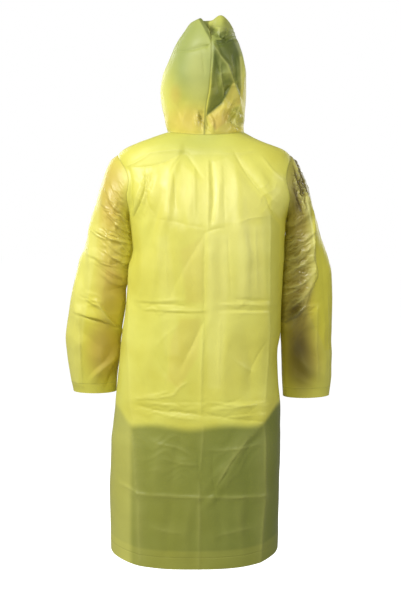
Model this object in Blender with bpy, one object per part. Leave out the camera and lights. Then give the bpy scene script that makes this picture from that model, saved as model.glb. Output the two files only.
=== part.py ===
"""A hooded raincoat of thin film, hollow and in the pose in which it is worn.

Metres, +Z up. +X is the wearer's left, -Y the front of the coat and +Y its back. The origin is
in the middle of the neck opening, level with the seam between hood and coat at the shoulders.
Every panel is a closed wall made from a grid of points on its outer face.
"""

import math

import bmesh
import bpy
import numpy as np

# ---------------------------------------------------------------- driving dimensions
WALL = 0.0015  # cloth wall
TURN_UP_WALL = 0.0024  # wall where a hem or cuff is turned up and welded
SEAM_GAP = 0.0004  # air between two pieces along a seam
HEM_LEVEL = -1.056  # hem at the side seams
HEM_TURN_UP = 0.045  # depth of the turned-up hem
CUFF_TURN_UP = 0.026  # depth of the turned-up cuff
ARMPIT_LEVEL = -0.225
SHOULDER_LEVEL = -0.058  # top of the armholes
ARMHOLE_REACH = 0.085  # half of an armhole's size from front to back
NECK_HALF_WIDTH = 0.098
NECK_MIDDLE = -0.005  # middle of the neckline, a little to the wearer's right
NECK_BACK = 0.084  # neckline behind the neck's middle
NECK_FRONT = 0.096  # neckline in front of it
BACK, FRONT = 1, -1
LEFT, RIGHT = 1, -1
NECK_DROP = {BACK: 0.013, FRONT: 0.075}  # neckline's middle below its sides
YOKE_DROP = {BACK: 0.006, FRONT: 0.045}  # same at the level of the armholes' tops
HEM_DIP = {BACK: 0.024, FRONT: 0.010}  # hem's middle below its sides
YOKE_FADE = 0.240  # height over which the yoke's drop dies out below the armholes' tops
HEM_FADE = 0.26  # height over which the hem's dip dies out
HEM_CURVE = 1.8  # how late the hem dips as it leaves a side seam
SHOULDER_ROUND = {LEFT: 0.004, RIGHT: -0.004}  # the seams' rounding above a straight line
YOKE_ROUND = 0.010  # further rounding halfway between a shoulder seam and the middle
SHOULDER_TURN = 0.070  # steepness with which the yoke leaves the level of the armholes
ARMHOLE_SHARE = 0.34  # share of a row, from each end, whose columns make room for the armhole
OVERLAP = 0.020  # each front runs this far past the middle
LAPEL_STEP = 0.0036  # the left front lies this far outside the right one
SNAP_HEIGHTS = (-0.125, -0.295, -0.465, -0.635, -0.805)
SNAP_RADIUS = 0.0065
SNAP_HEIGHT = 0.0024
SNAP_SIDES = 12

BACK_COLUMNS = 24
FRONT_COLUMNS = 8
ARMHOLE_ROWS = 10
YOKE_ROWS = 5
HOOD_COLUMNS = 16
HOOD_ROWS = 16
FINE = 400  # points on a row before it is divided into columns

YELLOW = (0.72, 0.69, 0.13, 1.0)


def table(columns, *rows):
    """Named columns of a table, sorted by the first one."""
    data = np.array(sorted(rows), dtype=float)
    return {name: data[:, i] for i, name in enumerate(columns.split())}


# Horizontal sections of the coat, from the armholes' tops down to the hem.
BODY = table(
    "level half_width middle back front squareness",
    (-0.040, 0.2030, 0.0010, 0.099, 0.092, 2.3),
    (-0.058, 0.2205, 0.0005, 0.104, 0.097, 2.4),
    (-0.085, 0.2295, -0.0040, 0.113, 0.107, 2.5),
    (-0.120, 0.2325, -0.0080, 0.124, 0.119, 2.6),
    (-0.160, 0.2280, -0.0100, 0.135, 0.131, 2.7),
    (-0.200, 0.2090, -0.0110, 0.143, 0.140, 2.7),
    (-0.225, 0.2005, -0.0105, 0.146, 0.144, 2.7),
    (-0.260, 0.1965, -0.0120, 0.148, 0.148, 2.7),
    (-0.300, 0.1935, -0.0125, 0.148, 0.150, 2.7),
    (-0.357, 0.1970, -0.0060, 0.146, 0.149, 2.7),
    (-0.430, 0.1975, -0.0015, 0.142, 0.146, 2.7),
    (-0.515, 0.2020, 0.0060, 0.140, 0.144, 2.7),
    (-0.557, 0.2010, 0.0125, 0.140, 0.143, 2.7),
    (-0.633, 0.2060, 0.0160, 0.141, 0.143, 2.7),
    (-0.690, 0.2115, 0.0160, 0.143, 0.144, 2.8),
    (-0.744, 0.2140, 0.0180, 0.145, 0.145, 2.8),
    (-0.788, 0.2167, 0.0205, 0.147, 0.147, 2.9),
    (-0.948, 0.2155, 0.0245, 0.150, 0.151, 3.0),
    (-1.100, 0.2120, 0.0246, 0.153, 0.154, 3.0),
)
BODY_LEVELS = (
    -1.056, -1.028, -1.011, -1.006, -0.965, -0.925, -0.900, -0.875, -0.835, -0.790,
    -0.745, -0.705, -0.675, -0.640, -0.590, -0.540, -0.490, -0.445, -0.400, -0.355,
    -0.310, -0.272, -0.244,
)

# Rings of the sleeves from the armhole to the cuff. outer_x and inner_x are distances from
# the coat's middle plane, reach is half the ring's size from front to back.
LEFT_SLEEVE = table(
    "ring outer_x outer_z inner_x inner_z reach middle_y",
    (1, 0.2395, -0.0725, 0.1935, -0.231, 0.083, -0.001),
    (2, 0.2520, -0.0955, 0.1930, -0.238, 0.081, -0.002),
    (3, 0.2620, -0.123, 0.1910, -0.246, 0.079, -0.003),
    (4, 0.2710, -0.150, 0.1890, -0.256, 0.077, -0.004),
    (5, 0.2780, -0.180, 0.1865, -0.270, 0.075, -0.005),
    (6, 0.2885, -0.212, 0.1850, -0.288, 0.073, -0.006),
    (7, 0.2980, -0.247, 0.1865, -0.310, 0.072, -0.007),
    (8, 0.3075, -0.285, 0.1900, -0.337, 0.071, -0.008),
    (9, 0.3195, -0.324, 0.1955, -0.370, 0.070, -0.010),
    (10, 0.3275, -0.366, 0.2000, -0.407, 0.070, -0.013),
    (11, 0.3390, -0.408, 0.2035, -0.447, 0.069, -0.017),
    (12, 0.3485, -0.450, 0.2095, -0.487, 0.069, -0.022),
    (13, 0.3560, -0.492, 0.2150, -0.527, 0.067, -0.028),
    (14, 0.3610, -0.534, 0.2195, -0.565, 0.065, -0.035),
    (15, 0.3580, -0.576, 0.2235, -0.603, 0.062, -0.043),
    (16, 0.3515, -0.622, 0.2275, -0.638, 0.059, -0.051),
    (17, 0.3430, -0.673, 0.2305, -0.674, 0.055, -0.058),
)
RIGHT_SLEEVE = table(
    "ring outer_x outer_z inner_x inner_z reach middle_y",
    (1, 0.2375, -0.0725, 0.2145, -0.231, 0.083, -0.001),
    (2, 0.2490, -0.0960, 0.2145, -0.238, 0.081, -0.002),
    (3, 0.2610, -0.123, 0.2135, -0.246, 0.079, -0.003),
    (4, 0.2720, -0.150, 0.2125, -0.256, 0.077, -0.004),
    (5, 0.2780, -0.180, 0.2120, -0.270, 0.075, -0.005),
    (6, 0.2865, -0.212, 0.2115, -0.290, 0.073, -0.006),
    (7, 0.2980, -0.247, 0.2110, -0.315, 0.072, -0.007),
    (8, 0.3100, -0.285, 0.2095, -0.345, 0.071, -0.008),
    (9, 0.3215, -0.324, 0.2075, -0.378, 0.070, -0.010),
    (10, 0.3305, -0.366, 0.2055, -0.415, 0.070, -0.013),
    (11, 0.3325, -0.408, 0.2035, -0.455, 0.069, -0.017),
    (12, 0.3330, -0.450, 0.2020, -0.495, 0.069, -0.022),
    (13, 0.3330, -0.492, 0.2015, -0.533, 0.067, -0.028),
    (14, 0.3330, -0.534, 0.2020, -0.570, 0.065, -0.035),
    (15, 0.3345, -0.576, 0.2030, -0.608, 0.062, -0.043),
    (16, 0.3345, -0.625, 0.2050, -0.645, 0.059, -0.051),
    (17, 0.3290, -0.684, 0.2075, -0.687, 0.056, -0.058),
)
SLEEVES = {LEFT: LEFT_SLEEVE, RIGHT: RIGHT_SLEEVE}
SLEEVE_EASE_RINGS = 5  # rings over which the armhole's shape turns into an oval

# The hood's rows from the neck to the crown. The back seam is at seam_x, back_y and back_z,
# the widest place of the two halves at left_x and right_x, and the edge of the face opening,
# or above it the seam over the brow, lies open_half to each side of brow_x.
HOOD = table(
    "row seam_x back_y back_z left_x right_x side_y side_z brow_x open_half edge_y edge_z",
    (0, -0.003, 0.084, -0.013, 0.093, -0.103, 0.000, 0.000, 0.000, 0.042, -0.093, -0.070),
    (1, -0.003, 0.088, 0.045, 0.107, -0.107, -0.008, 0.045, -0.001, 0.074, -0.112, -0.020),
    (2, -0.011, 0.101, 0.095, 0.115, -0.110, -0.010, 0.098, -0.003, 0.088, -0.119, 0.045),
    (3, -0.015, 0.113, 0.140, 0.108, -0.110, -0.008, 0.145, -0.005, 0.087, -0.120, 0.105),
    (4, -0.018, 0.117, 0.185, 0.090, -0.102, -0.005, 0.187, -0.008, 0.073, -0.118, 0.157),
    (5, -0.018, 0.110, 0.225, 0.073, -0.091, -0.002, 0.225, -0.010, 0.052, -0.114, 0.197),
    (6, -0.016, 0.097, 0.256, 0.053, -0.078, 0.002, 0.256, -0.012, 0.026, -0.108, 0.226),
    (7, -0.013, 0.080, 0.279, 0.034, -0.066, 0.006, 0.280, -0.013, 0.000, -0.096, 0.250),
    (8, -0.011, 0.058, 0.288, 0.014, -0.044, 0.010, 0.290, -0.011, 0.000, -0.066, 0.270),
    (9, -0.009, 0.030, 0.290, -0.009, -0.009, 0.004, 0.289, -0.009, 0.000, -0.025, 0.284),
)
FACE_CURVE = 2.2  # how late the hood's sides turn in towards the face opening
NECK_EASE_ROWS = 1.6  # rows of the table over which the hood takes up the neckline's shape

# The crown's seam is folded in between two lobes.
DIMPLE_DEPTH = 0.040
DIMPLE_CENTRE = (0.074, 0.276)
DIMPLE_REACH = (0.040, 0.036)
DIMPLE_WIDTH = {LEFT: 0.016, RIGHT: 0.021}
DIMPLE_DIRECTION = (0.0, -0.85, -0.53)
LOBE_RISE = 0.010
LOBE_CENTRE = (-0.044, 0.045, 0.300)
LOBE_REACH = 0.024

# Folds, each a straight stretch seen from behind or from the front, in millimetres.
BACK_FOLDS = table(
    "x0 z0 x1 z1 width depth",
    (-12, -80, -20, -239, 15, 3.0),
    (-5, -262, 2, -650, 15, 2.5),
    (0, -650, 8, -1060, 16, 3.0),
    (186, -452, 179, -717, 22, 4.0),
    (168, -760, 154, -1050, 22, 5.0),
    (-162, -246, -164, -423, 22, 4.0),
    (-158, -520, -151, -790, 22, 4.5),
    (-150, -830, -140, -1062, 22, 5.0),
    (101, -176, 130, -285, 17, -6.0),
    (82, -134, 109, -307, 17, 4.5),
    (27, -126, 37, -232, 16, 4.5),
    (56, -140, 64, -270, 15, -4.0),
    (-96, -104, -162, -188, 16, -5.5),
    (-78, -117, -83, -239, 20, 5.0),
    (-48, -130, -52, -250, 16, -4.0),
    (-118, -190, -128, -330, 18, -5.0),
    (200, -82, 106, -54, 16, 3.0),
    (-198, -88, -120, -58, 16, 3.0),
    (152, -153, 174, -214, 12, 5.0),
    (-142, -134, -184, -190, 13, 4.0),
    (145, -648, 10, -680, 17, -3.5),
    (-2, -663, -142, -697, 17, 3.5),
    (201, -883, 157, -898, 15, 4.0),
    (150, -898, -147, -904, 15, 4.0),
    (-130, -746, -37, -861, 15, 5.0),
    (-108, -760, -22, -870, 13, -4.0),
    (5, -479, 64, -599, 17, -4.0),
    (157, -430, 51, -425, 14, -3.0),
    (-88, -437, -162, -467, 14, 3.0),
    (110, -330, 96, -560, 22, 3.5),
    (-90, -300, -100, -560, 22, -3.5),
)
FRONT_FOLDS = table(
    "x0 z0 x1 z1 width depth",
    (150, -150, 120, -320, 20, -5.0),
    (95, -130, 80, -300, 18, 4.0),
    (-150, -150, -118, -330, 20, -5.0),
    (-90, -130, -78, -310, 18, 4.5),
    (165, -420, 158, -1050, 24, 4.5),
    (-150, -400, -138, -1050, 24, 4.5),
    (90, -420, 60, -640, 20, -4.0),
    (-95, -440, -70, -700, 20, -4.5),
    (140, -650, 40, -672, 16, 3.5),
    (-45, -668, -140, -655, 16, -3.5),
    (145, -905, 40, -898, 15, 4.0),
    (-40, -902, -140, -896, 15, 3.5),
    (80, -760, 70, -1040, 22, -4.0),
    (-85, -740, -80, -1045, 22, 4.0),
)
SLEEVE_BACK_FOLDS = table(
    "x0 z0 x1 z1 width depth",
    (257, -190, 194, -243, 11, -5.0),
    (272, -205, 205, -262, 11, 4.5),
    (283, -245, 196, -292, 12, -6.0),
    (290, -275, 203, -322, 12, 5.0),
    (285, -313, 205, -376, 13, -6.0),
    (300, -340, 212, -400, 13, 5.0),
    (266, -437, 224, -502, 12, -4.5),
    (317, -463, 250, -489, 12, 4.0),
    (271, -628, 228, -587, 12, 4.5),
    (322, -300, 330, -640, 15, 3.0),
    (-266, -166, -279, -301, 14, 5.0),
    (-215, -295, -261, -285, 9, -5.0),
    (-214, -318, -262, -306, 9, 4.5),
    (-212, -340, -262, -326, 9, -5.0),
    (-210, -372, -256, -360, 10, 4.5),
    (-208, -412, -258, -398, 10, -5.0),
    (-208, -438, -262, -424, 11, 4.0),
    (-235, -502, -284, -453, 12, -4.5),
    (-226, -560, -300, -600, 13, 3.5),
)
SLEEVE_FRONT_FOLDS = table(
    "x0 z0 x1 z1 width depth",
    (262, -180, 196, -240, 12, 5.0),
    (285, -235, 200, -285, 12, -5.5),
    (300, -330, 212, -362, 12, 5.0),
    (310, -380, 214, -398, 12, -5.5),
    (318, -430, 222, -440, 12, 5.0),
    (325, -540, 236, -510, 13, -4.0),
    (-262, -180, -216, -240, 12, 5.0),
    (-285, -235, -216, -285, 12, -5.5),
    (-300, -325, -214, -352, 12, 5.0),
    (-308, -372, -212, -392, 12, -5.5),
    (-315, -425, -212, -435, 12, 5.0),
    (-315, -545, -222, -515, 13, -4.0),
)
HOOD_FOLDS = table(
    "x0 z0 x1 z1 width depth",
    (46, 218, -10, 232, 9, -2.5),
    (-46, 182, -93, 94, 11, 4.0),
    (-52, 133, -57, 82, 9, -3.0),
    (-96, 190, -96, 94, 9, 4.0),
    (-62, 38, -98, 15, 8, -3.5),
    (10, 30, 18, 12, 8, 3.0),
    (80, 120, 88, 30, 13, 3.0),
    (50, 60, 58, 10, 11, -2.5),
)
FOLD_SCALE = 0.001  # the fold tables are in millimetres
SEAM_FADE = 0.030  # folds die out this close to a seam


# ---------------------------------------------------------------- curves
def smooth(knots, values, at):
    """Cubic through the knots that doesn't overshoot between them."""
    step = np.diff(knots)
    slope = np.diff(values) / step
    before, after = slope[:-1], slope[1:]
    same_sign = before * after > 0
    total = np.where(same_sign, before + after, 1.0)
    middle = np.where(same_sign, 2 * before * after / total, 0.0)
    tangent = np.concatenate(([slope[0]], middle, [slope[-1]]))
    place = np.clip(np.searchsorted(knots, at, side="right") - 1, 0, len(step) - 1)
    t = (np.clip(at, knots[0], knots[-1]) - knots[place]) / step[place]
    start = (1 + 2 * t) * (1 - t) ** 2 * values[place] + t**2 * (3 - 2 * t) * values[place + 1]
    bend = t * (1 - t) ** 2 * tangent[place] - t**2 * (1 - t) * tangent[place + 1]
    return start + bend * step[place]


def look_up(rows, at):
    """Every named column of a table at a value of its first column."""
    names = list(rows)
    return {name: smooth(rows[names[0]], rows[name], at) for name in names[1:]}


def ease(value):
    """0 below 0 and 1 above 1, with a soft start and end."""
    t = np.clip(value, 0.0, 1.0)
    return t * t * (3 - 2 * t)


def lengths(line):
    """Distance along a line at each of its points."""
    return np.concatenate(([0.0], np.cumsum(np.linalg.norm(np.diff(line, axis=0), axis=1))))


def points_at(line, distance):
    """Points of a line at these distances along it."""
    along = lengths(line)
    return np.stack([np.interp(distance, along, line[:, i]) for i in range(3)], axis=1)


def divide(line, count):
    """The line again, as count equal stretches."""
    return points_at(line, np.linspace(0.0, lengths(line)[-1], count + 1))


# ---------------------------------------------------------------- the coat's body
def armhole_angle(level, side):
    """Angle of an armhole's edge on the section at this level, 0 where there is no armhole."""
    middle = (SHOULDER_LEVEL + ARMPIT_LEVEL) / 2
    half = (SHOULDER_LEVEL - ARMPIT_LEVEL) / 2
    height = (level - middle) / half
    if abs(height) >= 1 - 1e-9:
        return 0.0
    section = look_up(BODY, level)
    depth = section["back"] if side == BACK else section["front"]
    reach = ARMHOLE_REACH * math.sqrt(1 - height**2) / depth
    return math.asin(reach ** (section["squareness"] / 2))


def even_out(level):
    """Lift in the middle of a row beside the armholes, which spaces these rows evenly there."""
    height = (level - ARMPIT_LEVEL) / (SHOULDER_LEVEL - ARMPIT_LEVEL)
    if not 0 < height < 1:
        return 0.0
    even = math.acos(1 - 2 * height) / math.pi
    return (even - height) * (SHOULDER_LEVEL - ARMPIT_LEVEL)


def section_line(level, side, start=0.0):
    """Fine line round the back or front of one section, from the wearer's left to right."""
    angle = np.linspace(start, math.pi - start, FINE)
    sine, cosine = np.sin(angle), np.cos(angle)
    sine[[0, -1]] = 0.0 if start == 0 else math.sin(start)
    yoke = YOKE_DROP[side] * ease(1 + (level - SHOULDER_LEVEL) / YOKE_FADE)
    hem = HEM_DIP[side] * ease((HEM_LEVEL + HEM_FADE - level) / HEM_FADE)
    lift = even_out(level) - yoke
    z = level + lift * sine**2 - hem * sine**HEM_CURVE
    section = look_up(BODY, z)
    depth = section["back"] if side == BACK else section["front"]
    power = 2 / section["squareness"]
    x = section["middle"] + section["half_width"] * np.sign(cosine) * np.abs(cosine) ** power
    return np.stack([x, side * depth * sine**power, z], axis=1)


def neckline(side):
    """Fine line of the neckline behind or in front, from the wearer's left to right."""
    angle = np.linspace(0.0, math.pi, FINE)
    sine = np.sin(angle)
    sine[[0, -1]] = 0.0
    depth = NECK_BACK if side == BACK else NECK_FRONT
    x = NECK_MIDDLE + NECK_HALF_WIDTH * np.cos(angle)
    return np.stack([x, side * depth * sine, -NECK_DROP[side] * sine**2], axis=1)


def row_line(level, side):
    """Fine line of one row of the body, which above the armholes leads up to the neckline."""
    if level <= SHOULDER_LEVEL:
        return section_line(level, side)
    share = 1 - level / SHOULDER_LEVEL
    low = divide(section_line(SHOULDER_LEVEL, side), FINE - 1)
    high = divide(neckline(side), FINE - 1)
    line = low + (high - low) * share
    beside = np.sin(np.linspace(0.0, 2 * math.pi, FINE)) ** 2
    seams = np.linspace(SHOULDER_ROUND[LEFT], SHOULDER_ROUND[RIGHT], FINE)
    line[:, 2] += (seams + YOKE_ROUND * beside) * math.sin(math.pi * share)
    line[:, 2] += SHOULDER_TURN * share * (1 - share) ** 4
    return line


def armhole_cut(level, side, line):
    """Length of a row's line that the armhole takes from each end."""
    start = armhole_angle(level, side)
    if start == 0:
        return 0.0, 0.0
    ends = section_line(level, side, start)[[0, -1]]
    along = lengths(line)
    left = np.interp(-ends[0, 0], -line[:, 0], along)
    right = np.interp(-ends[1, 0], -line[:, 0], along)
    return left, along[-1] - right


def make_room(stations, span, cut):
    """Stations along a row moved off its first cut metres, the further ones less."""
    keep = ARMHOLE_SHARE * span
    low = cut + SEAM_GAP / 2
    return np.where(stations < keep, low + (keep - low) * stations / keep, stations)


def row_levels():
    """Levels of the body's rows, from the hem to the neckline."""
    middle = (SHOULDER_LEVEL + ARMPIT_LEVEL) / 2
    half = (SHOULDER_LEVEL - ARMPIT_LEVEL) / 2
    turns = np.linspace(math.pi, 0.0, ARMHOLE_ROWS + 1)
    armhole = [middle + half * math.cos(turn) for turn in turns]
    armhole[0], armhole[-1] = ARMPIT_LEVEL, SHOULDER_LEVEL
    yoke = np.linspace(SHOULDER_LEVEL, 0.0, YOKE_ROWS + 1)[1:]
    return [*BODY_LEVELS, *armhole, *yoke]


def is_armhole(level):
    return ARMPIT_LEVEL < level < SHOULDER_LEVEL


def back_grid():
    """Outer face of the back, a row for each level."""
    rows = []
    for level in row_levels():
        line = row_line(level, BACK)
        span = lengths(line)[-1]
        left, right = armhole_cut(level, BACK, line)
        stations = make_room(np.linspace(0.0, span, BACK_COLUMNS + 1), span, left)
        stations = span - make_room(span - stations, span, right)
        rows.append(points_at(line, stations))
    return np.array(rows)


def beside_middle(points):
    """Distance of points from the coat's own middle, which leans a little from top to hem."""
    return points[..., 0] - smooth(BODY["level"], BODY["middle"], points[..., 2])


def front_grid(side):
    """Outer face of one front, from its side seam to its edge past the middle."""
    rows = []
    for level in row_levels():
        line = row_line(level, FRONT)
        cut = armhole_cut(level, FRONT, line)[0 if side == LEFT else 1]
        if side == RIGHT:
            line = line[::-1]
        along = lengths(line)
        across = -side * beside_middle(line)
        edge = [np.interp(x, across, along) for x in (-1.8 * OVERLAP, -OVERLAP, 0.0, OVERLAP)]
        if side == RIGHT:
            edge[-1] -= 0.1 * OVERLAP
        main = make_room(np.linspace(0.0, edge[0], FRONT_COLUMNS + 1), along[-1], cut)
        rows.append(points_at(line, np.concatenate((main, edge[1:]))))
    return np.array(rows)


# ---------------------------------------------------------------- folds and walls
def grid_normals(grid, closed):
    """Outward direction at each point of a grid, the mean of that of the faces round it."""
    sheet = np.concatenate((grid[:, -1:], grid, grid[:, :1]), axis=1) if closed else grid
    face = np.cross(sheet[1:, 1:] - sheet[:-1, :-1], sheet[1:, :-1] - sheet[:-1, 1:])
    face /= np.linalg.norm(face, axis=2, keepdims=True)
    face = np.pad(face, ((1, 1), (0, 0) if closed else (1, 1), (0, 0)), mode="edge")
    normal = face[1:, 1:] + face[1:, :-1] + face[:-1, 1:] + face[:-1, :-1]
    normal /= np.linalg.norm(normal, axis=2, keepdims=True)
    outward = np.sum(normal * (grid - grid.mean(axis=(0, 1))))
    return normal if outward > 0 else -normal


def fold_depth(folds, x, z):
    """How far the folds of a table stand out at points seen from behind or the front."""
    depth = np.zeros_like(x)
    for x0, z0, x1, z1, width, height in zip(*(folds[name] * FOLD_SCALE for name in folds)):
        run = np.array([x1 - x0, z1 - z0])
        share = ((x - x0) * run[0] + (z - z0) * run[1]) / (run @ run)
        share = np.clip(share, 0.0, 1.0)
        away = (x - x0 - share * run[0]) ** 2 + (z - z0 - share * run[1]) ** 2
        depth += height * np.exp(-away / width**2)
    return depth


def fade_from(grid, columns=(), rows=()):
    """0 along the named edges of a grid and 1 past SEAM_FADE from them."""
    fade = np.ones(grid.shape[:2])
    for edge in [grid[:, column] for column in columns] + [grid[row] for row in rows]:
        away = np.linalg.norm(grid[:, :, None] - edge, axis=3).min(axis=2)
        fade *= ease(away / SEAM_FADE)
    return fade


def folded(grid, folds, fade, closed=False):
    """A grid with the folds of a table raised along its outward direction."""
    depth = fold_depth(folds, grid[..., 0], grid[..., 2]) * fade
    return grid + grid_normals(grid, closed) * depth[..., None]


def split_quad(grid, a, b, c, d):
    """Two triangles of a grid's quad, split along its shorter diagonal."""
    if np.linalg.norm(grid[a] - grid[c]) <= np.linalg.norm(grid[b] - grid[d]):
        return (a, b, c), (a, c, d)
    return (a, b, d), (b, c, d)


def wall(name, grid, thickness, closed=False, flat_x=None, flat_y=None):
    """Closed wall whose outer face is the grid, thickness a number for each row.

    flat_x and flat_y mark points on a seam, where the wall's edge has no slope across it.
    """
    normal = grid_normals(grid, closed)
    for axis, mask in ((0, flat_x), (1, flat_y)):
        if mask is not None:
            normal[mask, axis] = 0.0
    normal /= np.linalg.norm(normal, axis=2, keepdims=True)
    inner = grid - normal * np.asarray(thickness)[:, None, None]
    rows, columns = grid.shape[:2]
    mesh = bmesh.new()
    faces = [[[mesh.verts.new(p) for p in row] for row in layer] for layer in (grid, inner)]
    outer_face, inner_face = faces
    last = columns if closed else columns - 1
    for i in range(rows - 1):
        for j in range(last):
            k = (j + 1) % columns
            for corners in split_quad(grid, (i, j), (i, k), (i + 1, k), (i + 1, j)):
                mesh.faces.new([outer_face[a][b] for a, b in corners])
                mesh.faces.new([inner_face[a][b] for a, b in reversed(corners)])
    edge = [((i, j), (i, (j + 1) % columns)) for i in (0, rows - 1) for j in range(last)]
    if not closed:
        edge += [((i, j), (i + 1, j)) for j in (0, columns - 1) for i in range(rows - 1)]
    for (a, b), (c, d) in edge:
        mesh.faces.new([outer_face[a][b], outer_face[c][d], inner_face[c][d], inner_face[a][b]])
    bmesh.ops.recalc_face_normals(mesh, faces=mesh.faces)
    return add_object(name, mesh)


def film_material(name):
    material = bpy.data.materials.new(name)
    material.use_nodes = True
    shader = material.node_tree.nodes["Principled BSDF"]
    shader.inputs["Base Color"].default_value = YELLOW
    shader.inputs["Roughness"].default_value = 0.35
    shader.inputs["Metallic"].default_value = 0.0
    return material


def add_object(name, mesh):
    """Scene object with its own material, shaded smooth but for its wall's edges."""
    data = bpy.data.meshes.new(name)
    mesh.to_mesh(data)
    mesh.free()
    data.shade_smooth()
    data.set_sharp_from_angle(angle=math.radians(40))
    data.materials.append(film_material(name + "_film"))
    piece = bpy.data.objects.new(name, data)
    bpy.context.scene.collection.objects.link(piece)
    return piece


# ---------------------------------------------------------------- pieces
def hem_thickness(levels):
    return [TURN_UP_WALL if level <= HEM_LEVEL + HEM_TURN_UP else WALL for level in levels]


def make_back():
    levels = row_levels()
    grid = back_grid()
    grid = folded(grid, BACK_FOLDS, fade_from(grid, columns=(0, -1), rows=(-1,)))
    seam = np.zeros(grid.shape[:2], dtype=bool)
    seam[:, [0, -1]] = [[not is_armhole(level)] * 2 for level in levels]
    wall("back_panel", grid, hem_thickness(levels), flat_y=seam)


def lapel(grid):
    """The left front's grid with its overlap stepped out over the right front."""
    step = LAPEL_STEP * ease((1.8 * OVERLAP - beside_middle(grid)) / (0.75 * OVERLAP))
    return grid + grid_normals(grid, False) * step[..., None]


def make_front(name, side):
    levels = row_levels()
    grid = front_grid(side)
    fade = fade_from(grid, columns=(0,), rows=(-1,))
    fade *= ease((side * beside_middle(grid) - 1.5 * OVERLAP) / SEAM_FADE)
    grid = folded(grid, FRONT_FOLDS, fade)
    if side == LEFT:
        grid = lapel(grid)
    seam = np.zeros(grid.shape[:2], dtype=bool)
    seam[:, 0] = [not is_armhole(level) for level in levels]
    wall(name, grid, hem_thickness(levels), flat_y=seam)
    return grid


def armhole_loop(side):
    """Armhole's edge from its top, down behind and up again in front."""
    levels = [level for level in row_levels() if ARMPIT_LEVEL <= level <= SHOULDER_LEVEL][::-1]
    end = 0 if side == LEFT else -1
    behind, before = [
        [section_line(level, face, armhole_angle(level, face))[end] for level in levels]
        for face in (BACK, FRONT)
    ]
    return np.array(behind + before[-2:0:-1])


def sleeve_grid(side):
    """Outer face of a sleeve, its first ring just outside the armhole."""
    start = armhole_loop(side) + np.array([side * (WALL / 2 + SEAM_GAP), 0.0, 0.0])
    count = len(start)
    turn = np.linspace(0.0, 2 * math.pi, count, endpoint=False)
    top, bottom = start[0], start[count // 2]
    rings = [start]
    first = None
    rows = SLEEVES[side]
    for i in range(-1, len(rows["ring"])):
        if i < 0:
            outer, inner = top, bottom
            reach, middle_y = ARMHOLE_REACH, 0.0
        else:
            outer = np.array([side * rows["outer_x"][i], 0.0, rows["outer_z"][i]])
            inner = np.array([side * rows["inner_x"][i], 0.0, rows["inner_z"][i]])
            reach, middle_y = rows["reach"][i], rows["middle_y"][i]
        centre, arm = (outer + inner) / 2, (outer - inner) / 2
        ring = centre + np.cos(turn)[:, None] * arm
        ring[:, 1] = middle_y + reach * np.sin(turn)
        if first is None:
            first = start - ring
            continue
        rings.append(ring + first * (1 - ease((i + 1) / SLEEVE_EASE_RINGS)))
    last = rings[-1]
    cuff_axis = (last - rings[-2]).mean(axis=0)
    cuff_axis /= np.linalg.norm(cuff_axis)
    rings.insert(-1, last - cuff_axis * CUFF_TURN_UP)
    return np.array(rings)


def make_sleeve(name, side):
    grid = sleeve_grid(side)
    fade = fade_from(grid, rows=(0, -1))
    behind = folded(grid, SLEEVE_BACK_FOLDS, fade, closed=True)
    before = folded(grid, SLEEVE_FRONT_FOLDS, fade, closed=True)
    turn = np.linspace(0.0, 2 * math.pi, grid.shape[1], endpoint=False)
    share = ease(0.5 + 1.2 * np.sin(turn))[None, :, None]
    grid = before + (behind - before) * share
    thickness = [WALL] * (len(grid) - 2) + [TURN_UP_WALL] * 2
    wall(name, grid, thickness, closed=True)


def neck_half(side):
    """Neckline of one half, from the middle of the back to the front edge, just above it."""
    behind = neckline(BACK)
    before = neckline(FRONT)
    if side == RIGHT:
        behind, before = behind[::-1], before[::-1]
    line = np.concatenate((behind[: FINE // 2][::-1], before[1:]))
    line[0, 0] = side * SEAM_GAP / 2
    stop = np.argmax(side * line[FINE // 2 :, 0] < HOOD["open_half"][0]) + FINE // 2
    line = line[:stop]
    return line + np.array([0.0, 0.0, WALL / 2 + SEAM_GAP])


def hood_row(row, side):
    """Fine line round one half of the hood, from the back seam to the face opening's edge."""
    at = look_up(HOOD, row)
    wide_x = at["left_x"] if side == LEFT else at["right_x"]
    seam_x = at["seam_x"] + side * SEAM_GAP / 2
    edge_x = at["brow_x"] + side * (at["open_half"] + SEAM_GAP / 2)
    wide_x = side * max(side * wide_x, side * seam_x)
    turn = np.linspace(0.0, math.pi / 2, FINE // 2)[:, None]
    seam = np.array([seam_x, at["back_y"], at["back_z"]])
    wide = np.array([wide_x, at["side_y"], at["side_z"]])
    edge = np.array([edge_x, at["edge_y"], at["edge_z"]])
    out, back = np.sin(turn), np.cos(turn)
    behind = np.hstack([
        seam[0] + (wide[0] - seam[0]) * out,
        wide[1] + (seam[1] - wide[1]) * back,
        wide[2] + (seam[2] - wide[2]) * back**2,
    ])
    run = np.linspace(0.0, 1.0, FINE // 2)[1:, None]
    before = np.hstack([
        wide[0] + (edge[0] - wide[0]) * run**FACE_CURVE,
        wide[1] + (edge[1] - wide[1]) * run,
        wide[2] + (edge[2] - wide[2]) * ease(run),
    ])
    return np.concatenate((behind, before))


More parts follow.
